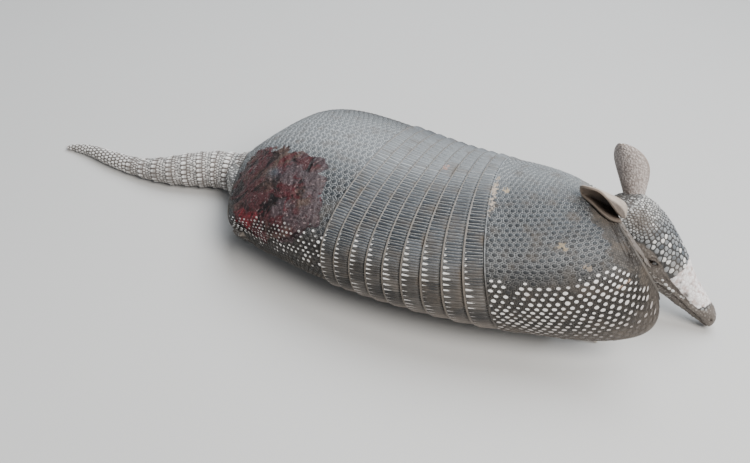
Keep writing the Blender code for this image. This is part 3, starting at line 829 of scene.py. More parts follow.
def add_plate(name):
    """The skin and wall of one plate, under its scutes."""
    start, end = PLATES[name]
    length = (end - start) * SHELL_LENGTH
    is_band = name.startswith("band")
    sheet = add_flat_grid(name + "_bed", 6 if is_band else round(length / BED_CELL), 132)
    points = points_of(sheet)
    gap = PLATE_GAP / 2 / SHELL_LENGTH
    share = points[:, 0]
    along = start + gap + (end - start - 2 * gap) * share
    around = 2 * points[:, 1] - 1
    if is_band:
        rim = 0.95 * (1 - ease(share, 0.1, 0.17))
        dirt = 0.35 + 0.9 * ease(share, 0.72, 0.95)
        granule = 0.0
    else:
        rim = 0.1 * edge_zone(name, along * SHELL_LENGTH, around * HALF_GIRTH)
        dirt = 0.35
        granule = 0.85 * (rim > 0.0)
    store_shell(sheet, along, around, 0.0, rim=rim, dirt=dirt, granule=granule)
    move_points(sheet, on_shell(along, around, plate_lift(name, along, around) + SKIN_BED))
    apply_modifier(sheet, "SOLIDIFY", thickness=PLATE_WALL, offset=-1.0)
    smooth_shading(sheet, 50)
    return sheet


def edge_bead(name, end_along, inwards, radius):
    """A rounded lip along the free edge of a shield."""
    def place(u, v):
        around = 2 * u - 1
        turn = 2 * math.pi * v
        along = end_along + inwards * (0.0012 - radius * np.cos(turn)) / SHELL_LENGTH
        return on_shell(along, around, -0.0016 + radius * np.sin(turn))

    bead = add_rolled_sheet(name, 150, 8, place)
    store_shell(bead, 0.5, 0.6, 0.6, chance=0.5, rim=0.12, dirt=0.8, granule=0.8)
    smooth_shading(bead, 60)
    return bead


def model_plate(name, corners, rings):
    """A low plate drawn up from a disc of radius 1; each ring is a share of the radius and a height."""
    deselect_all()
    bpy.ops.mesh.primitive_circle_add(vertices=corners, radius=1.0, fill_type="NGON")
    plate = bpy.context.object
    plate.name = name
    start_editing(plate)
    radius = 1.0
    height = 0.0
    for share, level in rings:
        bpy.ops.mesh.extrude_region_move(TRANSFORM_OT_translate={"value": (0, 0, level - height)})
        bpy.ops.transform.resize(value=(share / radius, share / radius, 1.0))
        radius = share
        height = level
    bpy.ops.object.mode_set(mode="OBJECT")
    return plate


def cell_reach(middles, weights, chosen, corners, most):
    """How far the chosen ones of many cells reach in each direction before they meet a neighbour."""
    turns = 2 * math.pi * np.arange(corners) / corners
    rays = np.stack([np.sin(-turns), np.cos(turns)])
    reach = np.empty((len(middles), corners))
    order = np.argsort(middles[:, 0])
    sorted_x = middles[order, 0]
    wanted = order[chosen[order]]
    for first in range(0, len(wanted), 60):
        own = wanted[first:first + 60]
        span = (middles[own, 0].min() - 2 * most, middles[own, 0].max() + 2 * most)
        low, high = np.searchsorted(sorted_x, span)
        others = order[low:high]
        away = middles[others][None] - middles[own][:, None]
        apart = (away ** 2).sum(2)
        toward = away @ rays
        shift = (apart + weights[own][:, None] - weights[others][None])[:, :, None]
        meeting = np.where(toward > 1e-7, shift / (2 * np.maximum(toward, 1e-7)), most)
        meeting = np.where((own[:, None] == others[None])[:, :, None], most, meeting)
        reach[own] = np.clip(meeting.min(1), 0.0, most)
    return reach[chosen]


def lay_plates(name, plate, reach):
    """One copy of a plate per cell, stretched to its cell.

    Gives each point's cell, its offset from the cell's middle, its height and its share of the radius.
    """
    base = points_of(plate)
    corners = reach.shape[1]
    repeat(plate, len(reach))
    rename(plate, name)
    cell = np.repeat(np.arange(len(reach)), len(base))
    points = np.tile(base, (len(reach), 1))
    turn = np.arctan2(-points[:, 0], points[:, 1]) / (2 * math.pi)
    corner = np.round(turn * corners).astype(int) % corners
    offset = points[:, :2] * reach[cell, corner][:, None]
    return cell, offset, points[:, 2], np.hypot(points[:, 0], points[:, 1])


def staggered_grid(low, high, pitch, row_pitch, before=0):
    """Places laid out over a shield, every second row half a pitch further along."""
    rows = int(HALF_GIRTH / row_pitch) + 2
    columns = np.arange(-before, int((high - low) / pitch) + 2 + before)
    column, row = np.meshgrid(columns, np.arange(-rows, rows + 1), indexing="ij")
    return np.stack([low + (column + 0.5 * (row % 2)) * pitch, row * row_pitch], -1).reshape(-1, 2)


def shield_cells(name):
    """Middles of a shield's scutes along and around it in metres, and their kinds as in SCUTE_KINDS."""
    low, high, pitch = SHIELD_FIELDS[name]
    large = staggered_grid(low, high, pitch, pitch * math.sqrt(3) / 2, 1)
    large[:, 0] += 0.35 * pitch * waves(np.c_[large, 0 * large[:, 0]], 0.034, 3)
    large[:, 1] += 0.3 * pitch * waves(np.c_[large, 0 * large[:, 0]], 0.04, 8)
    around_one = ((0.5, 0.0), (0.25, 0.433), (-0.25, 0.433), (0.0, 0.577), (0.5, 0.289))
    small = np.concatenate([large + np.array(place) * pitch for place in around_one])
    fine = staggered_grid(low, high, GRANULE_PITCH, 0.87 * GRANULE_PITCH)
    middles = np.concatenate([large, small, fine])
    kinds = np.repeat((2, 1, 0), (len(large), len(small), len(fine)))
    seeds = np.arange(len(middles))
    jitter = np.choose(kinds, (0.26 * GRANULE_PITCH, 0.05 * pitch, 0.045 * pitch))
    middles = middles + np.stack([scatter(seeds) - 0.5, scatter(seeds + 0.37) - 0.5], 1) * 2 * jitter[:, None]
    margin = edge_zone(name, middles[:, 0], middles[:, 1])
    kept = np.where(kinds == 0, margin, ~margin)
    kept &= (middles[:, 0] > low) & (middles[:, 0] < high) & (np.abs(middles[:, 1]) < HALF_GIRTH - 0.0014)
    return middles[kept], kinds[kept]


def edge_zone(name, x, y):
    """Where a shield carries granules, not scutes: along its lower edges and, on the shoulder, in front."""
    ragged = 0.0014 * waves(np.stack([x, y, 0 * x], 1), 0.011, 4)
    low_edge = HALF_GIRTH - np.abs(y) + ragged < 0.006
    front = SHELL_LENGTH * (0.946 + 0.034 * ease(np.abs(y), 0.088, 0.118)) + 2 * ragged
    return low_edge | ((x > front) & (name == "scapular_shield"))


SCUTE_KINDS = (  # kind, corners, rings that a plate is drawn up by, height
    (2, 10, ((0.88, 0.78), (0.62, 1.0), (0.34, 1.06)), 1.0),    # large
    (1, 6, ((0.82, 0.85),), 0.78),                              # small, round the large ones
    (0, 6, ((0.72, 0.75),), 0.66),                              # granules of the free edges
)


def add_shield_scutes(name, side):
    """The scutes of one half of a shield."""
    start, end = PLATES[name]
    middles, kinds = shield_cells(name)
    pitch = SHIELD_FIELDS[name][2]
    weights = np.choose(kinds, (0.0, (0.12 * pitch) ** 2, (0.385 * pitch) ** 2))
    own_side = middles[:, 1] * side >= 0
    parts = []
    for kind, corners, rings, tall in SCUTE_KINDS:
        chosen = own_side & (kinds == kind)
        seeds = np.nonzero(chosen)[0]
        reach = np.maximum(cell_reach(middles, weights, chosen, corners, pitch * 0.55) - GROOVE, 0.00012)
        plate = model_plate("plate", corners, rings)
        cell, offset, height, share = lay_plates("plates", plate, reach)
        centre = middles[chosen][cell]
        chance = scatter(seeds * 1.7 + 5)[cell]
        x = np.clip(centre[:, 0] + offset[:, 0], *np.array(SHIELD_FIELDS[name][:2]))
        along = x / SHELL_LENGTH
        around = np.clip((centre[:, 1] + offset[:, 1]) / HALF_GIRTH, -0.994, 0.994)
        strength = spot_strength(centre[:, 0] / SHELL_LENGTH, centre[:, 1] / HALF_GIRTH)
        spot = np.clip(strength * 1.7 - 0.7 * chance, 0, 1)
        size = 0.66 + 0.3 * scatter(seeds * 2.3 + 1)[cell]
        disc = 1 - ease(share, 0.55 * size, 1.15 * size)
        white = np.where((kind == 2) & (share < 0.9), spot * disc, 0.0)
        crown = (1.0 - ease(share, 0.66, 1.0)) if kind == 2 else 0.75 * (share < 0.9)
        level = height * SCUTE_HEIGHT * (0.8 + 0.4 * chance) * tall
        level = level * (1 + 0.45 * spot * (kind == 2))
        level = level * (1 - 0.6 * ease(sore_depth(along, around), 0.0, 0.004))
        lift = plate_lift(name, along, around) + SKIN_BED + level - SCUTE_SINK
        is_granule = kind == 0
        store_shell(plate, along, around, crown, white, chance, rim=0.1 * is_granule,
                    dirt=0.45 + 0.35 * is_granule, granule=0.85 * is_granule)
        store_uv(plate, (along - start) / (end - start), around / 2 + 0.5)
        move_points(plate, on_shell(along, around, lift))
        parts.append(plate)
    field = join("%s_scutes_%s" % (name, "left" if side > 0 else "right"), parts)
    smooth_shading(field, 50)
    return field


def scute_groups(field, tile_points):
    """A number for each scute of an array, and each scute's middle."""
    points = points_of(field)
    group = np.arange(len(points)) // tile_points * 12 + np.round(stored(field, "element")).astype(int)
    counts = np.maximum(np.bincount(group), 1)
    middle = np.stack([np.bincount(group, points[:, axis]) / counts for axis in (0, 1)], 1)
    return points, group, middle


def model_wedge(pitch, rear_width, front_width, offset, kind, element):
    """A long narrow scute of a band, from its rear end at x = 0 to its front end at x = 1."""
    scute = add_flat_grid("wedge", 8, 4)
    points = points_of(scute)
    share, side = points[:, 0], points[:, 1]
    column = np.round(side * 4).astype(int)
    inside_and_shade = (share > 0.01) & (share < 0.99) & (column > 0) & (column < 4)
    x = np.where(share < 0.15, share * 0.4, np.where(share > 0.85, 1 - (1 - share) * 0.4, share))
    width = (rear_width + (front_width - rear_width) * x) * pitch
    rounding = np.where((share < 0.01) | (share > 0.99), 0.72, 1.0)
    across = np.array((-0.5, -0.34, 0.0, 0.34, 0.5))[column] * rounding
    height = SCUTE_HEIGHT * (1.0 + 0.25 * (kind > 0.7)) * inside_and_shade * (1 + 0.35 * (column == 2))
    move_points(scute, np.stack([x, across * width + offset * pitch, height], 1))
    store(scute, "crown", np.where(inside_and_shade, np.where(column == 2, 1.0, 0.75), 0.0))
    store(scute, "kind", kind)
    store(scute, "element", element)
    store(scute, "middle", column == 2)
    return scute


def add_band_scutes():
    """The scutes of all the movable bands, one piece."""
    columns = int(2 * HALF_GIRTH / BAND_SCUTE_PITCH) + 1
    tile = join("band_tile", [model_wedge(BAND_SCUTE_PITCH, 0.62, 0.34, 0.0, 1.0, 0),
                              model_wedge(BAND_SCUTE_PITCH, 0.22, 0.5, 0.5, 0.5, 1)])
    tile_points = len(tile.data.vertices)
    repeat(tile, columns, BAND_SCUTE_PITCH)
    bands = []
    for number in range(BAND_COUNT):
        band = tile.copy()
        band.data = tile.data.copy()
        bpy.context.scene.collection.objects.link(band)
        name = "band_%d" % (number + 1)
        start, end = PLATES[name]
        points, group, middle = scute_groups(band, tile_points)
        shift = -BAND_SCUTE_PITCH * (columns - 1) / 2 + (scatter(number) - 0.5) * BAND_SCUTE_PITCH
        points[:, 1] += shift
        around = np.clip(points[:, 1] / HALF_GIRTH, -0.985, 0.985)
        middle_around = (middle[:, 1] + shift) / HALF_GIRTH
        chance = scatter(group + 977 * number)
        share = 0.1 + 0.86 * points[:, 0]
        along = start + (end - start) * share
        from_midline = np.abs(middle_around)[group]
        depth = from_midline - 0.385
        reach = 0.13 + 1.45 * np.clip(depth, 0, 0.6) + 0.22 * (chance[group] - 0.5)
        crown = stored(band, "crown")
        is_main = stored(band, "kind") > 0.7
        lit = (depth > 0) & is_main & (crown > 0.5) & (points[:, 0] > 0.03)
        fade = 1 - ease(points[:, 0], 0.25 * reach, 1.25 * reach)
        width = np.where(stored(band, "middle") > 0.5, 1.35, 0.62 - 0.5 * points[:, 0] / reach)
        strength = np.clip(0.35 + depth * 6, 0, 1) * (0.6 + 0.4 * chance[group])
        white = np.where(lit, strength * fade * width, 0.0)
        white = white * (1 - 0.45 * ease(from_midline, 0.6, 0.72))
        white = white * (1 - 0.8 * ease(from_midline, 0.86, 0.96))
        level = points[:, 2] * (0.85 + 0.3 * chance[group]) - SCUTE_SINK
        lift = plate_lift(name, along, around) + SKIN_BED + level
        dirt = 0.35 + 0.5 * ease(share, 0.7, 0.98)
        store_shell(band, along, around, crown, white, chance[group], dirt=dirt)
        store_uv(band, (along - BAND_EDGES[0]) / (BAND_EDGES[-1] - BAND_EDGES[0]), around / 2 + 0.5)
        move_points(band, on_shell(along, around, lift))
        delete_points(band, (np.abs(middle_around) > 0.985)[group])
        bands.append(band)
    bpy.data.objects.remove(tile, do_unlink=True)
    scutes = join("band_scutes", bands)
    smooth_shading(scutes, 50)
    return scutes


for plate_name in PLATES:
    bed = add_plate(plate_name)
    if plate_name == "pelvic_shield":
        bed = join(bed.name, [bed, edge_bead("rump_lip", 0.0, 1, 0.0013)])
    if plate_name == "scapular_shield":
        bed = join(bed.name, [bed, edge_bead("neck_lip", 1.0, -1, 0.0012)])
    dress(bed, shell_material, plate_name, slot_name="shell")

for shield_name in SHIELD_FIELDS:
    for side in (1, -1):
        dress(add_shield_scutes(shield_name, side), shell_material, slot_name="shell")
dress(add_band_scutes(), shell_material, slot_name="shell")


# ---- skin

def search_tree(piece):
    """A piece's faces, for finding the nearest place on them."""
    faces = [tuple(face.vertices) for face in piece.data.polygons]
    return BVHTree.FromPolygons([Vector(point) for point in points_of(piece)], faces)


def shell_search():
    """The form of the shell, for finding what lies under it or on it."""
    sheet = add_flat_grid("shell_form", 60, 48)
    points = points_of(sheet)
    move_points(sheet, on_shell(points[:, 0], 2 * points[:, 1] - 1, 0 * points[:, 0]))
    tree = search_tree(sheet)
    bpy.data.objects.remove(sheet, do_unlink=True)
    return tree


def shell_depth(points):
    """How far points lie under the surface of the shell; below zero outside it."""
    depth = np.empty(len(points))
    for k, point in enumerate(points):
        near, normal = SHELL_FORM.find_nearest(Vector(point))[:2]
        outwards = normal if normal.z > -0.3 or near.z < 0.05 else -normal
        depth[k] = -(Vector(point) - near).dot(outwards)
    return depth


SHELL_FORM = shell_search()


def upright(vectors):
    """Side and up directions for a tube that runs along the vectors."""
    side = unit(np.cross(np.array((0.0, 0.0, 1.0)), vectors))
    return side, unit(np.cross(vectors, side))


def add_tube(name, rows, cells_long, cells_wide, grow=0.0):
    """An elliptical tube through rows of centre x, y, z, half width and half height, closed at both ends."""
    table = smooth_table(rows)
    sides, ups = upright(unit(np.gradient(table[:, :3], axis=0)))

    def place(u, v):
        share, closed = end_caps(u, 0.04)
        x, y, z, wide, high = at_share(table, share)
        side = np.stack(at_share(sides, share), 1)
        up = np.stack(at_share(ups, share), 1)
        turn = 2 * math.pi * v
        out = side * ((wide + grow) * np.cos(turn) * ~closed)[:, None]
        out = out + up * ((high + grow) * np.sin(turn) * ~closed)[:, None]
        points = np.stack([x, y, z], 1) + out
        points[:, 2] = np.maximum(points[:, 2], FLOOR_GAP)
        return points

    return add_rolled_sheet(name, cells_long, cells_wide, place)


HEAD_WAY = unit(NOSE_TIP - SKULL_TOP)
HEAD_LEFT = unit(np.cross(np.array((0.0, 0.0, 1.0)), HEAD_WAY))
HEAD_ABOVE = np.cross(HEAD_WAY, HEAD_LEFT)
HEAD_TABLE = smooth_table(HEAD_SECTIONS)


def head_place(ahead, to_left, up):
    """World place of a point given in the head's own axes."""
    ahead, to_left, up = (np.asarray(value, float)[..., None] for value in (ahead, to_left, up))
    return SKULL_TOP + HEAD_WAY * ahead + HEAD_LEFT * to_left + HEAD_ABOVE * up


def head_middle(ahead):
    """How far up the middle of the head's section lies in its own axes."""
    return np.interp(ahead, HEAD_TABLE[:, 0], (HEAD_TABLE[:, 2] + HEAD_TABLE[:, 3]) / 2)


def head_axes_of(points):
    """How far ahead and to the left world points lie on the head, and their turn round it from its top."""
    away = points - SKULL_TOP
    ahead, to_left, up = (away @ axis for axis in (HEAD_WAY, HEAD_LEFT, HEAD_ABOVE))
    return ahead, to_left, np.arctan2(to_left, up - head_middle(ahead))


def head_turns_of(points):
    """How far ahead world points lie on the head, and their degrees round from its top on either side."""
    ahead, turn = head_axes_of(points)[::2]
    return ahead, np.degrees(np.abs(turn))


def head_form(ahead, turn, lift=0.0):
    """A point on the head: flat on top, full at the cheeks, narrower at the jaw."""
    half_width, top, bottom = (at_value(HEAD_TABLE, ahead, column) for column in (1, 2, 3))
    middle, half_height = (top + bottom) / 2, (top - bottom) / 2
    across = np.sin(turn) * (half_width + lift)
    rise = np.cos(turn) * (half_height + lift)
    jaw = np.clip(-np.cos(turn), 0, 1)
    across = across * (1 - 0.16 * jaw)
    return head_place(ahead, across, middle + rise)


def beside_mouth(ahead, side_turn):
    """How far below the line of the mouth a point lies, round the head."""
    mouth_turn = 116 - 10 * ease(ahead, 0.055, 0.085) + 6 * ease(ahead, 0.1, 0.12)
    return (side_turn - mouth_turn) / 57.3 * at_value(HEAD_TABLE, ahead)


NOSTRILS = head_form(np.full(2, NOSTRIL[0]), np.radians((-NOSTRIL[1], NOSTRIL[1])), -0.0005)


def add_head_sheet():
    """The form of the head, narrowing to its tip."""
    first, last = HEAD_TABLE[0, 0], HEAD_TABLE[-1, 0]

    def place(u, v):
        share, closed = end_caps(u, 0.03)
        ahead = first + (last - first) * (1 - (1 - share) ** 1.35)
        points = head_form(ahead, 2 * math.pi * v, -0.0005)
        points[closed] = head_place(ahead, 0 * ahead, head_middle(ahead))[closed]
        return points

    return add_rolled_sheet("head_sheet", 70, 64, place)


def add_trunk_sheet():
    """The trunk: upright sections along the spine that stay inside the shell."""
    table = smooth_table(TRUNK_SECTIONS, 6)
    depth = PLATE_WALL + 0.0024

    def place(u, v):
        points = np.empty((len(u), 3))
        for k, (share, closed, turn) in enumerate(zip(*end_caps(u, 0.03), 2 * math.pi * v)):
            along, half_width, top = at_share(table, share)
            centre = Vector(beside_spine(along, 0.0, TRUNK_AXIS_HEIGHT))
            side = (Vector(beside_spine(along, 1.0, TRUNK_AXIS_HEIGHT)) - centre).normalized()
            across, rise = math.sin(turn), math.cos(turn)
            height = top - TRUNK_AXIS_HEIGHT if rise > 0 else TRUNK_BELLY_DEPTH
            reach = abs(across / half_width) ** TRUNK_ROUNDNESS + abs(rise / height) ** TRUNK_ROUNDNESS
            reach = reach ** (-1 / TRUNK_ROUNDNESS) - 0.0005
            ray = side * across + Vector((0, 0, rise))
            hit, normal, _face, distance = SHELL_FORM.ray_cast(centre, ray)
            if hit:
                reach = min(reach, distance - depth / max(abs(normal.dot(ray)), 0.35))
            points[k] = centre if closed else centre + ray * reach
        points[:, 2] = np.maximum(points[:, 2], FLOOR_GAP)
        return points

    return add_rolled_sheet("trunk_sheet", 44, 72, place)


def limb_rows(kind, part, side):
    """Rows for a tube: the middle and half sizes of the sections of a leg or foot."""
    tuck = RIGHT_FORE_TUCK if (kind, side) == ("fore", -1) else 0.0
    return [(*beside_spine(along, (to_side - tuck) * side, height), wide, high)
            for along, to_side, height, wide, high in LIMBS[kind][part]]


def limb_front(kind, side):
    """The front of a foot: its middle, the ways forward and left, and its height."""
    table = smooth_table(limb_rows(kind, "foot", side), 2)
    toe = table[-1, :3]
    forward = toe - table[-3, :3]
    forward[2] = 0
    forward = unit(forward)
    return toe, forward, np.cross(np.array((0.0, 0.0, 1.0)), forward)


def claw_line(kind, side, offset, length, share):
    """The middle of a claw at shares of its length."""
    toe, forward, left = limb_front(kind, side)
    share = np.asarray(share, float)
    root = toe + left * offset * side + forward * (0.004 - abs(offset) * 0.35)
    place = root + forward * ((length + 0.004) * share)[:, None]
    place = place + left * (offset * side * 0.25 * share)[:, None]
    radius = CLAW_RADIUS * (1 - 0.72 * share ** 1.5)
    place[:, 2] = radius + 0.0045 * (1 - share) ** 1.5
    return place, radius


def add_limb_sheets(kind, side):
    """A leg, its foot and its toes."""
    leg = limb_rows(kind, "leg", side)
    foot = limb_rows(kind, "foot", side)
    sheets = [add_tube("leg_sheet", leg, 18, 28, 0.0004), add_tube("foot_sheet", foot, 18, 28, -0.0004)]
    toe, forward, left = limb_front(kind, side)
    for offset, length in LIMBS[kind]["claws"]:
        line = claw_line(kind, side, offset, length, (0.0, 0.12, 0.27))[0]
        back = toe + left * offset * side * 0.6 - forward * 0.006
        rows = [(back[0], back[1], 0.006, 0.0036, 0.0042)]
        for place, wide in zip(line, (0.0037, 0.0036, 0.0027)):
            rows.append((place[0], place[1], max(place[2] - 0.0004, wide * 0.9), wide, wide * 0.95))
        sheets.append(add_tube("toe_sheet", rows, 10, 14))
    return sheets


def add_tail_sheet():
    """The root of the tail, inside its first scales."""
    rows = [(x, y, radius, radius - 0.0009, radius - 0.0009) for x, y, radius in TAIL_LINE[:6]]
    rows = [(-0.16, 0.012, 0.019, 0.019, 0.019)] + rows
    return add_tube("tail_sheet", rows, 40, 32)


def raise_head_features(skin):
    """Mouth, nostrils, lids and folds, pressed into the skin of the head."""
    points = points_of(skin)
    normals = normals_of(skin)
    ahead, to_left, turn = head_axes_of(points)
    side_turn = np.degrees(np.abs(turn))
    near = ease(ahead, -0.022, -0.008)
    move = np.zeros(len(points))
    from_mouth = beside_mouth(ahead, side_turn)
    in_mouth = ease(ahead, 0.05, 0.06)
    for middle, width, height in MOUTH_LINE:
        move += height * in_mouth * hill(from_mouth, middle, width)
    nostril_axes = np.stack([HEAD_WAY, HEAD_LEFT, HEAD_ABOVE * 1.35], 1)
    for place in NOSTRILS:
        distance = np.linalg.norm((points - place) @ nostril_axes, axis=1)
        move += 0.0007 * hill(distance, 0.0024, 0.0009) - 0.0028 * hill(distance, 0.0, 0.0013)
    across_folds = (ahead + 0.25 * np.abs(to_left)) / 0.0058
    folds = np.sin(2 * math.pi * across_folds + 1.3 * waves(points, 0.03, 5))
    behind = (1 - ease(ahead, 0.012, 0.034)) * ease(side_turn, 62, 84) * near
    move += 0.0006 * folds * behind
    move += 0.00025 * waves(points, 0.009, 9) * near
    half_length, half_height = EYE_OPENING
    for side in (1, -1):
        along_slit, over_slit, outward, out = eye_axes(points, side)
        distance = np.hypot(along_slit, over_slit)
        facing = outward > -0.002
        lid = np.sqrt(np.maximum((EYE_RADIUS + 0.0006) ** 2 - distance ** 2, 0))
        lift = np.maximum(lid - outward, 0.0) * (1 - ease(distance, 0.0038, 0.0052))
        points = points + out * np.where(facing, lift, 0.0)[:, None]
        upper = np.hypot(along_slit * 0.72, over_slit - 0.0006)
        lower = np.hypot(along_slit * 0.7, over_slit)
        creases = 0.0006 * (hill(upper, 0.0044, 0.00065) + hill(lower, 0.0062, 0.00065))
        corner = 0.0009 * hill(along_slit, -0.0058, 0.0028) * hill(over_slit, -0.0004, 0.0006)
        move -= facing * (creases + corner)
        half_open = half_height * (1 - 0.4 * np.minimum(np.abs(along_slit) / half_length, 1))
        opening = (along_slit / half_length) ** 2 + (over_slit / half_open) ** 2
        depth = 0.003 * np.sqrt(np.clip(1 - opening, 0, 1)) ** 0.5
        points = points - out * np.where(facing & (opening < 1.0), depth, 0.0)[:, None]
        rim = facing & (distance < 0.0065)
        move += rim * 0.00045 * hill(np.sqrt(opening), 1.35, 0.28)
    move_points(skin, points + normals * move[:, None])


def eye_centre(side):
    return head_place(EYE_PLACE[0], EYE_PLACE[1] * side, EYE_PLACE[2])


def eye_axes(points, side):
    """Places round an eye: along its slit, across it and outwards from the head, and that outward way."""
    out = unit(HEAD_LEFT * side + HEAD_ABOVE * 0.26)
    slit = HEAD_WAY * 0.9 + HEAD_ABOVE * 0.36
    slit = unit(slit - out * (slit @ out))
    away = points - eye_centre(side)
    return away @ slit, away @ unit(np.cross(out, slit)) * side, away @ out, out


def divide_near(piece, chosen, cuts=1):
    """Finer faces where the chosen points are."""
    make_active(piece)
    bpy.ops.object.mode_set(mode="EDIT")
    bpy.ops.mesh.select_mode(type="VERT")
    bpy.ops.mesh.select_all(action="DESELECT")
    bpy.ops.object.mode_set(mode="OBJECT")
    piece.data.vertices.foreach_set("select", chosen)
    bpy.ops.object.mode_set(mode="EDIT")
    bpy.ops.mesh.subdivide(number_cuts=cuts, smoothness=0.0)
    bpy.ops.object.mode_set(mode="OBJECT")


def near_eye(points, reach):
    """Which points lie within a reach of either eye."""
    return np.minimum(*[np.linalg.norm(points - eye_centre(side), axis=1) for side in (1, -1)]) < reach


def refill_head(skin):
    """Bring the head back out to its form after the smoothing."""
    points = points_of(skin)
    ahead, turn = head_axes_of(points)[::2]
    share = ease(ahead, 0.016, 0.03)
    wanted = head_form(np.clip(ahead, -0.011, 0.125), turn, -0.0003)
    out = unit(wanted - head_place(ahead, 0 * ahead, head_middle(ahead)))
    gap = np.einsum("ij,ij->i", wanted - points, out)
    gap = np.clip(gap, -0.0015, 0.0022) * share * (gap > -0.003) * (gap < 0.005)
    inside = (ahead > 0.016) & (ahead < 0.1245)
    move_points(skin, points + out * np.where(inside, gap, 0.0)[:, None])


def add_neck_fold(ahead_of_edge, lift, radius):
    """A fold of skin that follows the front edge of the shell, on both sides."""
    parts = []
    for side in (1, -1):
        around = np.linspace(0.26, 0.9, 14) * side
        uneven = waves(np.c_[around, around, around], 0.5, lift * 9000)
        along = 1.0 + ahead_of_edge / SHELL_LENGTH + 0.004 * uneven
        line = on_shell(along, around, np.full(14, lift))
        thickness = radius * np.sin(np.linspace(0.35, 2.8, 14)) ** 0.5
        rows = [(*place, thick, thick) for place, thick in zip(line, thickness)]
        parts.append(add_tube("fold", rows, 60, 12))
    return parts


def add_skin():
    """One skin over the head, neck, trunk, tail root, legs and feet, from sheets that are merged."""
    sheets = []
    for fold in NECK_FOLDS:
        sheets += add_neck_fold(*fold)
    sheets += [add_head_sheet(), add_tube("neck_sheet", NECK_SECTIONS, 30, 48, -0.0005)]
    sheets += [add_trunk_sheet(), add_tail_sheet()]
    for kind in LIMBS:
        for side in (1, -1):
            sheets += add_limb_sheets(kind, side)
    skin = join("skin", sheets)
    apply_modifier(skin, "REMESH", mode="VOXEL", voxel_size=SKIN_VOXEL, adaptivity=0.0)
    apply_modifier(skin, "SMOOTH", factor=0.5, iterations=4)
    ahead = head_axes_of(points_of(skin))[0]
    divide_near(skin, ahead > -0.015)
    divide_near(skin, near_eye(points_of(skin), 0.012))
    divide_near(skin, near_eye(points_of(skin), 0.0075))
    apply_modifier(skin, "SMOOTH", factor=0.5, iterations=2)
    refill_head(skin)
    raise_head_features(skin)
    points = points_of(skin)
    points[:, 2] = np.maximum(points[:, 2], 0.0002)
    move_points(skin, points)
    smooth_shading(skin, 180)
    start_editing(skin)
    bpy.ops.uv.smart_project(angle_limit=math.radians(66), island_margin=0.002)
    bpy.ops.object.mode_set(mode="OBJECT")
    skin.data.uv_layers[0].name = "OFBake"
    return skin


def skin_finish():
    """Thin leathery skin and its scales: blue-grey head, pinkish white snout, grey-brown below."""
    kit = Finish("skin", 0.6)
    kit.shader.inputs["Specular IOR Level"].default_value = 0.35
    raised, chance, frost = (kit.number(name) for name in ("raised", "chance", "frost"))
    grain = kit.noise(0.0012, 4.0)
    cloud = kit.noise(0.016, 4.0)
    skin_colour = kit.mix(cloud, (0.085, 0.07, 0.059), (0.225, 0.195, 0.17))
    scale_colour = kit.mix(chance, (0.125, 0.108, 0.094), (0.29, 0.258, 0.23))
    colour = kit.mix(kit.step(raised, 0.2, 0.8), skin_colour, scale_colour)
    net = kit.mix(frost, (0.05, 0.049, 0.048), (0.15, 0.146, 0.14))
    horn = kit.mix(chance, (0.1, 0.112, 0.124), (0.36, 0.37, 0.375))
    frosted = kit.blotches((0.17, 0.17, 0.165), (0.92, 0.9, 0.86), (0.0035, 4.0), 0.38, 0.62)
    horn = kit.mix(frost, horn, frosted)
    shield_colour = kit.mix(kit.step(raised, 0.25, 0.75), net, horn)
    colour = kit.mix(kit.number("shield"), colour, shield_colour)
    pale = kit.mix(grain, (0.66, 0.64, 0.6), (0.97, 0.95, 0.92))
    colour = kit.mix(kit.step(kit.times(kit.number("white"), raised), 0.3, 0.62), colour, pale)
    flesh = kit.blotches((0.66, 0.54, 0.5), (1.0, 0.96, 0.94), (0.0042, 4.0), 0.34, 0.56)
    flesh = kit.mix(kit.step(raised, 0.0, 0.6, 0.3, 0.0), flesh, (0.44, 0.33, 0.3))
    ragged = kit.plus(kit.number("pink"), kit.step(kit.noise(0.005, 3.0), 0.3, 0.7, -0.22, 0.22))
    colour = kit.mix(kit.step(ragged, 0.38, 0.6), colour, flesh)
    shade = kit.mix(cloud, (0.036, 0.028, 0.023), (0.085, 0.066, 0.054))
    # Dark marks of the head, and painted shade under the jaw, round the eyes and in the nostrils.
    colour = kit.mix(kit.number("dark"), colour, shade)
    colour = kit.blotches(colour, (0.09, 0.065, 0.05), (0.0045, 3.0), 0.6, 0.72, 0.3)
    wrinkles = kit.cells(0.0019, "DISTANCE_TO_EDGE")
    kit.bump(kit.step(wrinkles, 0.0, 0.12), 0.00022, 0.7)
    kit.bump(grain, 0.00014, 0.6)
    return kit.done(colour, kit.step(grain, 0.3, 0.7, 0.45, 0.66))


def snout_pink(ahead, side_turn):
    """Where the snout is pale and pink: its upper side, between the shield and the tip."""
    rear_end = 0.0612 + 0.00004 * np.minimum(side_turn, 60)
    front_end = 1 - ease(ahead + 0.00009 * (side_turn - 20), 0.103, 0.1095)
    return ease(ahead, rear_end - 0.0022, rear_end + 0.0022) * (1 - ease(side_turn, 70, 77)) * front_end


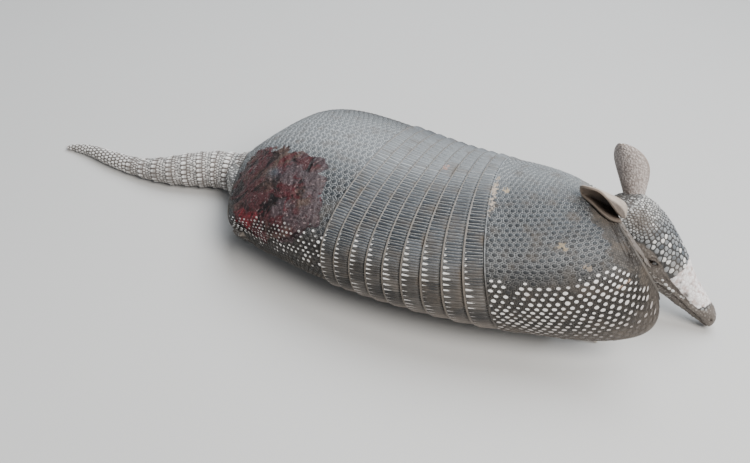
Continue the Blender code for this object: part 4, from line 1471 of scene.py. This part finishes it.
def head_darkness(points, ahead, side_turn):
    """Where the head is painted dark: the line of the mouth, the snout's marks and its tip, and painted shade
    under the jaw, round the eyes and in the nostrils.
    """
    notch = hill(ahead, 0.085, 0.003) * hill(side_turn, 67, 9.0)
    for mark_ahead, mark_turn, strength in SNOUT_NOTCHES:
        notch = notch + strength * hill(ahead, mark_ahead, 0.0012) * hill(side_turn, mark_turn, 4.0)
    stripe = hill(side_turn, 79.5, 3.6) * ease(ahead, 0.05, 0.06) * (1 - ease(ahead, 0.088, 0.097))
    shades = [
        # painted shade on the underside of the head, under the jaw
        0.4 * ease(side_turn, 100, 135) * ease(ahead, 0.03, 0.06),
        0.9 * hill(beside_mouth(ahead, side_turn), 0.0, 0.0007) * ease(ahead, 0.055, 0.065),
        0.85 * stripe,
        np.clip(1.1 * notch, 0, 0.9),
        0.16 * ease(ahead, 0.106, 0.112) * ease(side_turn, 20, 60),
    ]
    # painted shade round each eye
    for side in (1, -1):
        along_slit, over_slit, outward = eye_axes(points, side)[:3]
        for length, height, low, high, strength in EYE_SHADES:
            reach = np.hypot(along_slit / length, over_slit / height)
            shades.append(strength * (outward > -0.002) * (1 - ease(reach, low, high)))
    # painted shade inside the nostrils
    for place in NOSTRILS:
        shades.append(np.exp(-(np.linalg.norm(points - place, axis=1) / 0.0016) ** 4))
    return np.max(shades, axis=0) * ease(ahead, -0.012, 0.0)


def paint_skin(piece, raised=0.0, chance=0.5, white=0.0):
    """What the skin's material reads: the same marks on the skin, on its scales and on its hairs."""
    points = points_of(piece)
    ahead, turn = head_axes_of(points)[::2]
    side_turn = np.degrees(np.abs(turn))
    on_head = ease(ahead, -0.02, -0.006)
    edge = at_value(HEAD_SHIELD_EDGE, ahead)
    off_form = np.linalg.norm(points - head_form(np.clip(ahead, -0.012, 0.1256), turn), axis=1)
    shield = on_head * (1 - ease(side_turn, edge - 3, edge + 3)) * (1 - ease(ahead, 0.104, 0.11))
    shield = shield * (1 - ease(off_form, 0.0012, 0.0026))
    frost = shield * (1 - ease(ahead, 0.004, 0.026)) * (0.75 + 0.25 * waves(points, 0.02, 3))
    tail_base = (1 - ease(points[:, 0], -0.16, -0.15)) * ease(points[:, 2], 0.008, 0.016)
    marks = {
        "pink": snout_pink(ahead, side_turn) * on_head,
        "dark": head_darkness(points, ahead, side_turn),
        "shield": np.maximum(shield, tail_base),
        "frost": np.maximum(frost, tail_base),
        "raised": raised, "chance": chance, "white": white,
    }
    for word, values in marks.items():
        store(piece, word, values)


# ---- scales and hairs of the skin

def bake_places_of(skin):
    """The place of each face on the bake map."""
    corners = np.empty(len(skin.data.loops) * 2)
    skin.data.uv_layers["OFBake"].data.foreach_get("uv", corners)
    starts = np.empty(len(skin.data.polygons), dtype=np.int32)
    skin.data.polygons.foreach_get("loop_start", starts)
    return corners.reshape(-1, 2)[starts]


def strew(skin, spacing, allowed, seed):
    """Places strewn over the skin at least a spacing apart, and the skin's outward direction there."""
    data = skin.data
    data.calc_loop_triangles()
    corners = np.empty(len(data.loop_triangles) * 3, dtype=np.int32)
    data.loop_triangles.foreach_get("vertices", corners)
    a, b, c = (points_of(skin)[corners.reshape(-1, 3)[:, k]] for k in range(3))
    across = np.cross(b - a, c - a)
    area = np.linalg.norm(across, axis=1) / 2 * allowed((a + b + c) / 3)
    chooser = np.random.default_rng(seed)
    count = int(area.sum() / spacing ** 2 * 3.5)
    picked = chooser.choice(len(area), count, p=area / area.sum())
    u, v = chooser.random(count), chooser.random(count)
    over = u + v > 1
    u, v = np.where(over, 1 - u, u), np.where(over, 1 - v, v)
    places = a[picked] + (b - a)[picked] * u[:, None] + (c - a)[picked] * v[:, None]
    steps = np.array(list(np.ndindex(3, 3, 3))) - 1
    taken = {}
    kept = []
    for k, place in enumerate(places):
        cell = (place // spacing).astype(int)
        around = map(tuple, (cell + steps).tolist())
        near = [other for name in around for other in taken.get(name, ())]
        if all(np.dot(place - other, place - other) > spacing ** 2 for other in near):
            taken.setdefault(tuple(cell.tolist()), []).append(place)
            kept.append(k)
    return places[kept], unit(across[picked[kept]])


def store_patches(piece, cell, local, places):
    """Bake places: a small patch per scale or hair, at its root's place on the skin's own map."""
    roots = np.array([BAKE_PLACES[SKIN_TREE.find_nearest(Vector(place))[2]] for place in places])
    patch = 0.0015 * np.clip(local, -1, 1)
    store_uv(piece, roots[cell, 0] + patch[:, 0], roots[cell, 1] + patch[:, 1])


def head_radius(ahead):
    """Mean radius of the head, for laying it out flat."""
    half_width, top, bottom = (at_value(HEAD_TABLE, ahead, column) for column in (1, 2, 3))
    return (half_width + (top - bottom) / 2) / 2


def head_cells():
    """Middles of the head's scutes: forward, and round from the top in metres."""
    middles = []
    ahead = HEAD_SHIELD_EDGE[0][0]
    row = 0
    while ahead < HEAD_SHIELD_EDGE[-1][0]:
        pitch = at_value(HEAD_SHIELD_PITCH, ahead)
        limit = math.radians(at_value(HEAD_SHIELD_EDGE, ahead)) * head_radius(ahead)
        for k in range(-20, 21):
            across = (k + 0.5 * (row % 2)) * pitch
            if abs(across) < limit:
                middles.append((ahead, across))
        ahead += pitch * 0.84
        row += 1
    middles = np.array(middles)
    seeds = np.arange(len(middles))
    pitch = at_value(HEAD_SHIELD_PITCH, middles[:, 0])
    shake = np.stack([scatter(seeds) - 0.5, scatter(seeds + 0.41) - 0.5], 1)
    return middles + shake * pitch[:, None] * 0.42, pitch


def head_whites(middles):
    """How white each scute of the head is: the pale ovals, and some at the shield's lower edge."""
    radius = head_radius(middles[:, 0])
    turn = np.degrees(np.abs(middles[:, 1])) / radius
    white = np.zeros(len(middles))
    for oval_ahead, oval_turn, strength in HEAD_OVALS:
        apart = np.hypot(middles[:, 0] - oval_ahead, np.radians(turn - oval_turn) * radius)
        for side in (1, -1):
            nearest = int(np.argmin(np.where(middles[:, 1] * side >= 0, apart, 9.0)))
            white[nearest] = max(white[nearest], strength)
    fringe = (scatter(np.arange(len(middles)) + 5.5) > 0.84) & (middles[:, 0] > 0.018) & (turn > 25)
    return np.where(fringe, np.maximum(white, 0.42), white)


def add_head_scutes():
    """The shield of the head: many-sided scutes side by side from between the ears to the snout."""
    middles, pitch = head_cells()
    seeds = np.arange(len(middles))
    weights = (0.4 * pitch * scatter(seeds + 3.3)) ** 2
    reach = cell_reach(middles, weights, np.ones(len(middles), bool), 12, 0.003)
    reach = np.minimum(reach, 0.6 * pitch[:, None]) - 0.00022
    plate = model_plate("head_scutes", 12, ((0.86, 0.72), (0.50, 1.0)))
    cell, offset, height, share = lay_plates("head_scutes", plate, reach)
    ahead = middles[cell, 0] + offset[:, 0]
    level = height * (0.00062 - 0.00034 * ease(ahead, 0.06, 0.068))
    level = level * (0.75 + 0.5 * scatter(seeds + 9)[cell]) - 0.00012
    wanted = head_form(ahead, (middles[cell, 1] + offset[:, 1]) / head_radius(ahead))
    points = np.empty((len(wanted), 3))
    for k, point in enumerate(wanted):
        near, normal = SKIN_TREE.find_nearest(Vector(point))[:2]
        points[k] = near + normal * level[k]
    move_points(plate, points)
    last_corners = np.searchsorted(cell, seeds, side="right") - 1
    store_patches(plate, cell, offset / PATCH_REACH, wanted[last_corners])
    raised = np.where(share > 0.95, 0.0, 0.55 + 0.45 * (share < 0.7))
    paint_skin(plate, raised, scatter(seeds + 2)[cell], head_whites(middles)[cell])
    smooth_shading(plate, 50)
    return plate


def skin_ways(points, normals):
    """Directions along the skin, running back from the nose."""
    ahead = head_axes_of(points)[0]
    back = np.where((ahead > -0.01)[:, None], -HEAD_WAY, np.array((-1.0, 0.0, -0.15)))
    ways = unit(back - normals * np.einsum("ij,ij->i", back, normals)[:, None])
    return ways, np.cross(normals, ways)


def scale_country(points):
    """Where the skin carries small scales: the head outside its shield, neck, legs, feet and tail root."""
    ahead, side_turn = head_turns_of(points)
    x, height = points[:, 0], points[:, 2]
    outside = (side_turn > at_value(HEAD_SHIELD_EDGE, ahead) + 4) | (ahead > 0.108)
    on_head = (ahead > -0.004) & (ahead < 0.121) & outside & ~near_eye(points, 0.005)
    on_limb = (height < 0.03) & (np.abs(x) > 0.045) & (ahead < -0.004)
    on_neck = (x > 0.135) & (ahead <= -0.004)
    return on_head | on_limb | on_neck | (x < -0.15)


def hair_country(points):
    """Where sparse hairs grow: the belly's sides, the throat, the cheeks, and the legs above the feet."""
    ahead, side_turn = head_turns_of(points)
    x, height = points[:, 0], points[:, 2]
    cheek = (ahead > 0.0) & (ahead < 0.085) & (side_turn > 96)
    return cheek | ((height < 0.034) & (height > 0.004) & (ahead < -0.004) & (x > -0.165))


def scale_layout(skin):
    """Each small scale's place, its outward direction, its number, and whether it is a cheek oval."""
    places, normals = strew(skin, SCALE_SPACING, scale_country, 4)
    ovals = head_form(*np.array([(ahead, math.radians(turn) * side)
                                 for ahead, turn in CHEEK_OVALS for side in (1, -1)]).T)
    clear = np.linalg.norm(places[:, None] - ovals[None], axis=2).min(1) > 0.0022
    found = [SKIN_TREE.find_nearest(Vector(point)) for point in ovals]
    places = np.concatenate([places[clear], [tuple(near[0]) for near in found]])
    normals = np.concatenate([normals[clear], [tuple(near[1]) for near in found]])
    numbers = np.arange(len(places))
    return places, normals, numbers, numbers >= len(places) - len(ovals)


def add_skin_scales(name, layout, chosen):
    """Low rounded scales strewn over the skin, with a row of larger, paler ones low on each cheek."""
    places, normals, seeds, oval = (column[chosen] for column in layout)
    radius = SCALE_RADIUS * (0.75 + 0.5 * scatter(seeds)) * np.where(oval, 1.55, 1.0)
    plate = model_plate(name, 8, ((0.7, 0.8), (0.32, 1.0)))
    cell, offset, height, share = lay_plates(name, plate, np.repeat(radius[:, None], 8, 1))
    ways, sides = skin_ways(places, normals)
    points = places[cell] + ways[cell] * (offset[:, 0] * 1.25)[:, None] + sides[cell] * offset[:, 1][:, None]
    points = points + normals[cell] * (height * radius[cell] * 0.42 - 0.00015)[:, None]
    points[:, 2] = np.maximum(points[:, 2], 0.0001)
    move_points(plate, points)
    store_patches(plate, cell, offset / PATCH_REACH, places)
    paint_skin(plate, share <= 0.9, scatter(seeds + 2)[cell], oval[cell])
    smooth_shading(plate, 60)
    return plate


def hair_form(u, v):
    """A straight thin cone along X."""
    radius = 1.0 - 0.85 * u
    return np.stack([u, radius * np.cos(2 * math.pi * v), radius * np.sin(2 * math.pi * v)], 1)


def add_hairs(skin, name):
    """Stiff pale hairs strewn over the bare skin, each a thin tapering blade of a few faces."""
    places, normals = strew(skin, HAIR_SPACING, hair_country, 9)
    ways, sides = skin_ways(places, normals)
    hair = add_rolled_sheet(name, 3, 3, hair_form)
    base = points_of(hair)
    repeat(hair, len(places))
    cell = np.repeat(np.arange(len(places)), len(base))
    share, wide, high = np.tile(base, (len(places), 1)).T
    seeds = np.arange(len(places))
    length = (0.0045 + 0.005 * scatter(seeds + 0.6))[cell]
    lean = ways + sides * (scatter(seeds + 4.4) - 0.5)[:, None] * 0.9
    rise = (0.75 + 0.3 * scatter(seeds + 8.1))[cell] * length
    points = places[cell] + lean[cell] * (length * share)[:, None]
    points = points + normals[cell] * (rise * share * (1 - 0.35 * share) - 0.0002)[:, None]
    points = points + (sides[cell] * wide[:, None] + normals[cell] * high[:, None]) * HAIR_RADIUS
    points[:, 2] = np.maximum(points[:, 2], 0.0003)
    move_points(hair, points)
    store_patches(hair, cell, np.stack([share - 0.5, wide], 1), places)
    paint_skin(hair, 1.0, 0.6 + 0.4 * scatter(seeds)[cell], 0.55)
    smooth_shading(hair, 80)
    return hair


skin = add_skin()
paint_skin(skin)
SKIN_TREE = search_tree(skin)
BAKE_PLACES = bake_places_of(skin)
LIMB_NODES = ["%s_%s_%s" % (kind, part, word) for kind in LIMBS for part in ("leg", "foot")
              for word in ("left", "right")]
skin_material = skin_finish()
dress(skin, skin_material, "trunk", "neck", "head", *LIMB_NODES, slot_name="skin")
dress(add_head_scutes(), skin_material, slot_name="skin")
small_scales = scale_layout(skin)
in_front = small_scales[0][:, 0] > SCALES_DIVIDED
for word, chosen in (("front", in_front), ("rear", ~in_front)):
    dress(add_skin_scales("skin_scales_" + word, small_scales, chosen), skin_material, slot_name="skin")
dress(add_hairs(skin, "hairs"), skin_material, slot_name="skin")


# ---- eyes, ears and claws

def eye_finish():
    """A dark eye under a clear wet coat."""
    kit = Finish("wet eye", 0.06)
    kit.shader.inputs["Coat Weight"].default_value = 1.0
    cloud = kit.noise(0.002, 3.0)
    return kit.done(kit.mix(cloud, (0.006, 0.005, 0.004), (0.022, 0.015, 0.011)))


def ear_finish():
    """Pebbled leather, pink-brown outside and dark inside, with a tanned rim. The inside is darkest toward
    the root as painted shade in the hollow, and the laid-back ear's low side takes the same dark colour as
    painted shade.
    """
    kit = Finish("ear leather", 0.6)
    grain = kit.noise(0.0013, 4.0)
    cloud = kit.noise(0.012, 4.0)
    outer = kit.mix(cloud, (0.5, 0.43, 0.395), (0.7, 0.63, 0.585))
    outer = kit.mix(kit.step(kit.number("grains"), 0.15, 0.75, 0.65, 0.0), outer, (0.27, 0.215, 0.19))
    tanned = kit.mix(cloud, (0.3, 0.245, 0.195), (0.62, 0.535, 0.455))
    outer = kit.mix(kit.number("tanned"), outer, tanned)
    streaks = kit.noise(0.0035, 5.0, None, 0.8)
    # Inside the ear: dark leather, painted darker still toward the root as shade in the hollow, paler near
    # the tip.
    within = kit.mix(streaks, (0.022, 0.015, 0.011), (0.1, 0.07, 0.052))
    near_tip = kit.mix(streaks, (0.11, 0.078, 0.055), (0.3, 0.235, 0.185))
    within = kit.mix(kit.step(kit.number("level"), 0.45, 0.98), within, near_tip)
    colour = kit.mix(kit.number("inside_and_shade"), outer, within)
    edge_colour = kit.mix(grain, (0.2, 0.15, 0.115), (0.42, 0.34, 0.28))
    colour = kit.mix(kit.number("rim"), colour, edge_colour)
    kit.bump(kit.cells(0.0017), 0.0003, 0.6)
    kit.bump(grain, 0.0001, 0.5)
    return kit.done(colour, kit.step(grain, 0.3, 0.7, 0.5, 0.7))


def claw_finish():
    """Pale horn with fine streaks."""
    kit = Finish("claw horn", 0.35)
    streaks = kit.noise(0.0016, 4.0, (0.25, 1.0, 1.0))
    colour = kit.mix(streaks, (0.4, 0.33, 0.25), (0.74, 0.67, 0.56))
    kit.bump(streaks, 0.0001, 0.5)
    return kit.done(colour, kit.step(streaks, 0.3, 0.7, 0.28, 0.5))


def ear_sheet_points(name, share, side):
    """Points on the sheet of an ear: a leaf curled about its axis, opening out towards its tip."""
    root, tip, opening, half_width, curl_root, curl_tip, root_depth, press = EARS[name]
    root, tip, opening = (np.array(value) for value in (root, tip, opening))
    axis = unit(tip - root)
    opening = unit(opening - axis * (opening @ axis))
    curl = curl_root + (curl_tip - curl_root) * ease(share, 0.0, 0.85)
    widening = 0.62 + 0.38 * np.sin(np.minimum(share / 0.55, 1) * math.pi / 2)
    rounding = np.maximum(1 - np.maximum(share - 0.55, 0) ** 2 / 0.45 ** 2, 0) ** 0.62
    radius = half_width * widening * rounding / curl
    turn = curl * side
    sunk = root_depth * np.maximum(1 - share / EAR_ROOT_SHARE, 0) ** 2
    points = (root + axis * (np.linalg.norm(tip - root) * share)[:, None]
              + np.cross(axis, opening) * (press * radius * np.sin(turn))[:, None]
              + opening * (radius * (1 - np.cos(turn)) - half_width * 0.25)[:, None]
              - EAR_OUTWARDS * sunk[:, None])
    outwards = Vector(EAR_OUTWARDS)
    for k, point in enumerate(points):
        below = Vector(point) - outwards * EAR_CLEARANCE
        hit = SHELL_FORM.ray_cast(below, outwards, EAR_MOST_LIFT)[0]
        if hit:
            points[k] = hit + outwards * EAR_CLEARANCE
    return points, opening


def add_ear(name):
    """An ear of thin leather: pebbled outside, ribbed and dark inside, with a rolled rim."""
    sheet = add_flat_grid(name + "_leather", 84, 84)
    points = points_of(sheet)
    side = 2 * points[:, 1] - 1
    share = 0.9985 * (1 - (1 - points[:, 0]) ** 1.6)
    place, opening = ear_sheet_points(name, share, side)
    move_points(sheet, place)
    store(sheet, "edge", np.maximum(np.abs(side), ease(share, 0.95, 0.995)))
    store(sheet, "level", share)
    store_uv(sheet, points[:, 0], points[:, 1])
    count = len(points)
    apply_modifier(sheet, "SOLIDIFY", thickness=EAR_THICKNESS, offset=0.0)
    placed = points_of(sheet)
    first_inside = ((placed[:count] - placed[count:2 * count]) @ opening)[np.abs(side) < 0.3].mean() > 0
    store(sheet, "inside_and_shade", (np.arange(len(placed)) < count) == first_inside)
    apply_modifier(sheet, "BEVEL", width=0.0004, segments=2, limit_method="ANGLE")
    normals = normals_of(sheet)
    placed = points_of(sheet)
    edge = stored(sheet, "edge")
    inside_and_shade = stored(sheet, "inside_and_shade")
    laid_back = name == "ear_right"
    open_part = 1 - ease(edge, 0.86, 0.98)
    grains = pebbles(placed, 0.0019, 3) * (1 - inside_and_shade) * open_part
    ribs = (0.5 + 0.5 * waves(placed, 0.0042, 21)) * inside_and_shade * open_part
    rolled = hill(edge, 0.95, 0.03)
    move_points(sheet, placed + normals * (0.00055 * grains + 0.00035 * ribs + 0.00028 * rolled)[:, None])
    # Painted shade: the low side of the laid-back ear, where it lies over the shell, takes the inside's dark
    # colour and loses its rim colour.
    low_side = (placed - placed.mean(0)) @ np.array((0.0, -0.77, -0.64))
    painted_shade_beneath = ease(low_side, 0.001, 0.004) * laid_back
    store(sheet, "grains", grains)
    store(sheet, "inside_and_shade", np.maximum(inside_and_shade * (1 - ease(edge, 0.88, 0.97)), 0.85 * painted_shade_beneath))
    store(sheet, "rim", ease(edge, 0.93, 0.985) * (1 - 0.85 * painted_shade_beneath))
    store(sheet, "tanned", laid_back)
    if laid_back:
        delete_points(sheet, shell_depth(placed) > 0.0035)
    smooth_shading(sheet, 70)
    return sheet


ear_material = ear_finish()
for ear_name in EARS:
    dress(add_ear(ear_name), ear_material, ear_name, slot_name="ear_skin")

eye_material = eye_finish()
for eye_name, side in (("eye_left", 1), ("eye_right", -1)):
    deselect_all()
    bpy.ops.mesh.primitive_uv_sphere_add(segments=40, ring_count=24, radius=EYE_RADIUS - 0.0001)
    ball = bpy.context.object
    ball.name = eye_name + "_ball"
    move_points(ball, points_of(ball) + eye_centre(side))
    ball.location = (0, 0, 0)
    smooth_shading(ball, 180)
    dress(ball, eye_material, eye_name, slot_name="eye")


def add_claws(kind, side):
    """The claws of one foot: long, slightly curved, with a ridge along the top and a narrow underside."""
    claws = []
    for offset, length in LIMBS[kind]["claws"]:
        line, radius = claw_line(kind, side, offset, length, np.linspace(0, 1, 13))
        way = unit(np.gradient(line, axis=0))
        sides, ups = upright(way)

        def place(u, v):
            share, closed = end_caps(u, 0.03)
            centre = np.stack(at_share(line, share), 1)
            size = at_share(radius[:, None], share)[0] * ~closed
            turn = 2 * math.pi * v
            wide = np.cos(turn) * (1 - 0.25 * np.clip(-np.sin(turn), 0, 1))
            high = np.sin(turn) * 1.1
            return (centre + np.stack(at_share(sides, share), 1) * (wide * size)[:, None]
                    + np.stack(at_share(ups, share), 1) * (high * size)[:, None])

        claw = add_rolled_sheet("claw", 22, 14, place)
        placed = points_of(claw)
        placed[:, 2] = np.maximum(placed[:, 2], 0.0)
        move_points(claw, placed)
        claws.append(claw)
    word = "left" if side > 0 else "right"
    nodes = ["%s_claw_%s_%d" % (kind, word, number + 1) for number in range(len(claws))]
    made = join("%s_claws_%s" % (kind, word), claws)
    smooth_shading(made, 60)
    return made, nodes


claw_material = claw_finish()
for kind in LIMBS:
    for side in (1, -1):
        made, nodes = add_claws(kind, side)
        dress(made, claw_material, *nodes, slot_name="claw")


# ---- tail

def tail_finish():
    """Pale horny scales, brighter with wear at the rear edge of each ring; lighter on top of the tail and
    darker below, as painted light and shade.
    """
    kit = Finish("tail scales", 0.55)
    grain = kit.noise(0.0012, 4.0)
    cloud = kit.noise(0.02, 4.0)
    horn = kit.mix(kit.number("chance"), (0.28, 0.265, 0.252), (0.76, 0.72, 0.685))
    groove = kit.mix(cloud, (0.085, 0.074, 0.066), (0.215, 0.187, 0.168))
    colour = kit.mix(kit.step(kit.number("crown"), 0.25, 0.75), groove, horn)
    pale = kit.mix(grain, (0.76, 0.73, 0.7), (1.0, 0.98, 0.95))
    colour = kit.mix(kit.step(kit.number("wear_and_top_light"), 0.06, 0.42), colour, pale)
    colour = kit.blotches(colour, (0.22, 0.175, 0.14), (0.006, 4.0), 0.56, 0.72, 0.4)
    kit.bump(grain, 0.00014, 0.6)
    return kit.done(colour, kit.step(grain, 0.3, 0.7, 0.45, 0.65))


TAIL_TABLE = smooth_table([(x, y, radius, radius) for x, y, radius in (TAIL_ROOT, *TAIL_LINE)])
TAIL_STEPS = np.concatenate([[0], np.cumsum(np.linalg.norm(np.diff(TAIL_TABLE[:, :3], axis=0), axis=1))])
TAIL_STEPS = TAIL_STEPS - TAIL_STEPS[12]
TAIL_LENGTH = TAIL_STEPS[-1]
TAIL_WAYS = unit(np.gradient(TAIL_TABLE[:, :3], axis=0))
TAIL_TIP_START = TAIL_LENGTH - 0.03


def tail_radius(distance):
    """Radius of the tail's round form at a distance from its first ring."""
    return np.interp(distance, TAIL_STEPS, TAIL_TABLE[:, 3])


def along_tail(table, distance):
    """Points or directions of a table at distances along the tail from its first ring."""
    return np.stack([np.interp(distance, TAIL_STEPS, table[:, k]) for k in range(3)], -1)


def on_tail(distance, turn, lift):
    """A point on the tail, turn 0 being its top, lifted off its round form."""
    side, up = upright(unit(along_tail(TAIL_WAYS, distance)))
    radius = tail_radius(distance) + lift
    points = along_tail(TAIL_TABLE, distance)
    points = points + side * (radius * np.sin(turn))[..., None] + up * (radius * np.cos(turn))[..., None]
    points[..., 2] = np.maximum(points[..., 2], 0.0)
    return points


def tail_lift(share, ring):
    """How far a length of the tail stands off its round form: a ring rises to its rear edge."""
    return (-0.001 + 0.0009 * ease(share, 0.15, 0.95)) if ring else -0.0006 + 0 * share


def add_tail_skin(name, start, end, cells_long, ring):
    """The skin below the scales of a length of the tail, closed at both ends."""
    def place(u, v):
        share, closed = end_caps(u, 0.05)
        distance = start + (end - start) * share
        lift = tail_lift(share, ring) - 0.0002 - 0.003 * closed
        lift = np.maximum(lift, 0.0002 - tail_radius(distance))
        return on_tail(distance, 2 * math.pi * v, lift)

    core = add_rolled_sheet(name, cells_long, 48, place)
    for word in ("crown", "wear_and_top_light", "chance"):
        store(core, word, 0.0)
    return core


def add_tail_row(start, end, row, edges, ring):
    """A row of scales round a length of the tail, set off by half a scale against the row before it."""
    first, last = edges[row:row + 2]
    is_last = row == len(edges) - 2
    is_worn = is_last or not ring
    width = (0.0044 if is_last else 0.0027) if ring else 0.0035
    number = max(6, int(round(2 * math.pi * tail_radius(start + (end - start) * first) / width)))
    scales = add_flat_grid("tail_row", 5, 4)
    points = points_of(scales)
    rim = (np.abs(points[:, :2] - 0.5) > 0.49).any(1)
    store(scales, "crown", ~rim)
    repeat(scales, number, 1.0)
    placed = points_of(scales)
    which = np.arange(len(placed)) // len(points)
    chance = scatter(which + 31 * row + 517 * start * 1000)
    x, y = placed[:, 0], placed[:, 1] - which
    taper = 1 - 0.42 * ease(x, 0.55, 1.0) - 0.25 * (1 - ease(x, 0.0, 0.3))
    y = 0.5 + (y - 0.5) * 0.88 * taper
    crown = stored(scales, "crown")
    share = first + (last - first) * (0.05 + 0.95 * x)
    swelling = 0.0007 * (0.7 + 0.5 * chance) * (1.2 if is_worn else 0.8)
    turn = 2 * math.pi * (which + y + 0.5 * (row % 2)) / number
    lift = tail_lift(share, ring) + crown * swelling - 0.0002
    move_points(scales, on_tail(start + (end - start) * share, turn, lift))
    # Painted light: the scales' tone and their pale rear edges are lighter on top of the tail and darker
    # underneath.
    painted_top_light = 0.55 + 0.45 * np.cos(turn)
    rear = ease(x, 0.25, 0.6) if ring else ease(x, 0.1, 0.35)
    wear_and_top_light = rear * (0.35 + 0.65 * chance) * painted_top_light
    store(scales, "wear_and_top_light", crown * wear_and_top_light * (1.0 if is_worn else 0.32))
    # random tone, darkened toward the underside as painted shade
    store(scales, "chance", chance * (0.45 + 0.55 * painted_top_light))
    return scales


def add_tail_length(name, start, end, rows, ring):
    """A length of the tail: its skin and rows of overlapping scales."""
    edges = RING_ROW_EDGES if ring else np.linspace(0, 1, rows + 1)
    parts = [add_tail_skin(name, start, end, max(8, 4 * rows), ring)]
    parts += [add_tail_row(start, end, row, edges, ring) for row in range(len(edges) - 1)]
    made = join(name, parts)
    smooth_shading(made, 50)
    return made


tail_material = tail_finish()
dress(add_tail_length("tail_base_scales", -0.0150, 0.0, 3, True), tail_material, slot_name="tail_armour")
for number in range(TAIL_RINGS):
    ring_start = number * TAIL_RING_LENGTH
    ring_name = "tail_ring_%d" % (number + 1)
    ring = add_tail_length(ring_name + "_scales", ring_start, ring_start + TAIL_RING_LENGTH, 3, True)
    dress(ring, tail_material, ring_name, slot_name="tail_armour")
whip = add_tail_length("tail_whip_scales", TAIL_RINGS * TAIL_RING_LENGTH, TAIL_TIP_START, 11, False)
dress(whip, tail_material, "tail_whip", slot_name="tail_armour")
point = add_tail_length("tail_tip_scales", TAIL_TIP_START, TAIL_LENGTH - 0.0002, 8, False)
dress(point, tail_material, "tail_tip", slot_name="tail_armour")


# ---- floor, light and camera

def add_floor():
    """A wide pale floor, part of the stage only."""
    deselect_all()
    bpy.ops.mesh.primitive_plane_add(size=6.0, location=(0, 0, -0.0006))
    floor = bpy.context.object
    floor.name = "floor"
    kit = Finish("pale floor", 0.85)
    colour = kit.mix(kit.noise(0.5, 2.0), (0.6, 0.59, 0.57), (0.64, 0.63, 0.61))
    floor.data.materials.append(kit.done(colour))


def add_area_light(name, place, target, size, power, colour):
    light = bpy.data.lights.new(name, "AREA")
    light.shape = "DISK"
    light.size = size
    light.energy = power
    light.color = colour
    lamp = bpy.data.objects.new(name, light)
    lamp.location = place
    lamp.rotation_euler = (Vector(target) - Vector(place)).to_track_quat("-Z", "Y").to_euler()
    bpy.context.scene.collection.objects.link(lamp)


def add_light():
    """An open shade sky with two soft panels."""
    world = bpy.data.worlds.new("studio")
    bpy.context.scene.world = world
    world.use_nodes = True
    sky = world.node_tree.nodes["Background"].inputs
    sky["Color"].default_value = (0.86, 0.92, 1.0, 1.0)
    sky["Strength"].default_value = 0.34
    add_area_light("sky panel", (0.1, 0.7, 1.5), (0, 0, 0.05), 1.6, 34, (0.90, 0.95, 1.0))
    add_area_light("key panel", (0.9, -0.5, 1.2), (0.05, 0, 0.05), 0.9, 27, (1.0, 0.97, 0.93))


CAMERA_TARGET = Vector((-0.014, -0.037, 0.05))
CAMERA_DISTANCE = 0.6545
CAMERA_AZIMUTH = 0.385
CAMERA_ELEVATION = 0.673
CAMERA_ROLL = 0.117


def add_camera():
    """The camera above the right side, turned a little about its own axis."""
    back = Vector((math.sin(CAMERA_AZIMUTH) * math.cos(CAMERA_ELEVATION),
                   -math.cos(CAMERA_AZIMUTH) * math.cos(CAMERA_ELEVATION), math.sin(CAMERA_ELEVATION)))
    level_right = Vector((math.cos(CAMERA_AZIMUTH), math.sin(CAMERA_AZIMUTH), 0))
    level_up = level_right.cross(-back)
    right = level_right * math.cos(CAMERA_ROLL) + level_up * math.sin(CAMERA_ROLL)
    up = level_up * math.cos(CAMERA_ROLL) - level_right * math.sin(CAMERA_ROLL)
    lens = bpy.data.cameras.new("camera")
    lens.lens = 38.4
    lens.sensor_width = 36.0
    lens.clip_start = 0.01
    camera = bpy.data.objects.new("camera", lens)
    turned = Matrix((right, up, back)).transposed().to_4x4()
    turned.translation = CAMERA_TARGET + back * CAMERA_DISTANCE
    camera.matrix_world = turned
    bpy.context.scene.collection.objects.link(camera)
    bpy.context.scene.camera = camera


add_floor()
add_light()
add_camera()
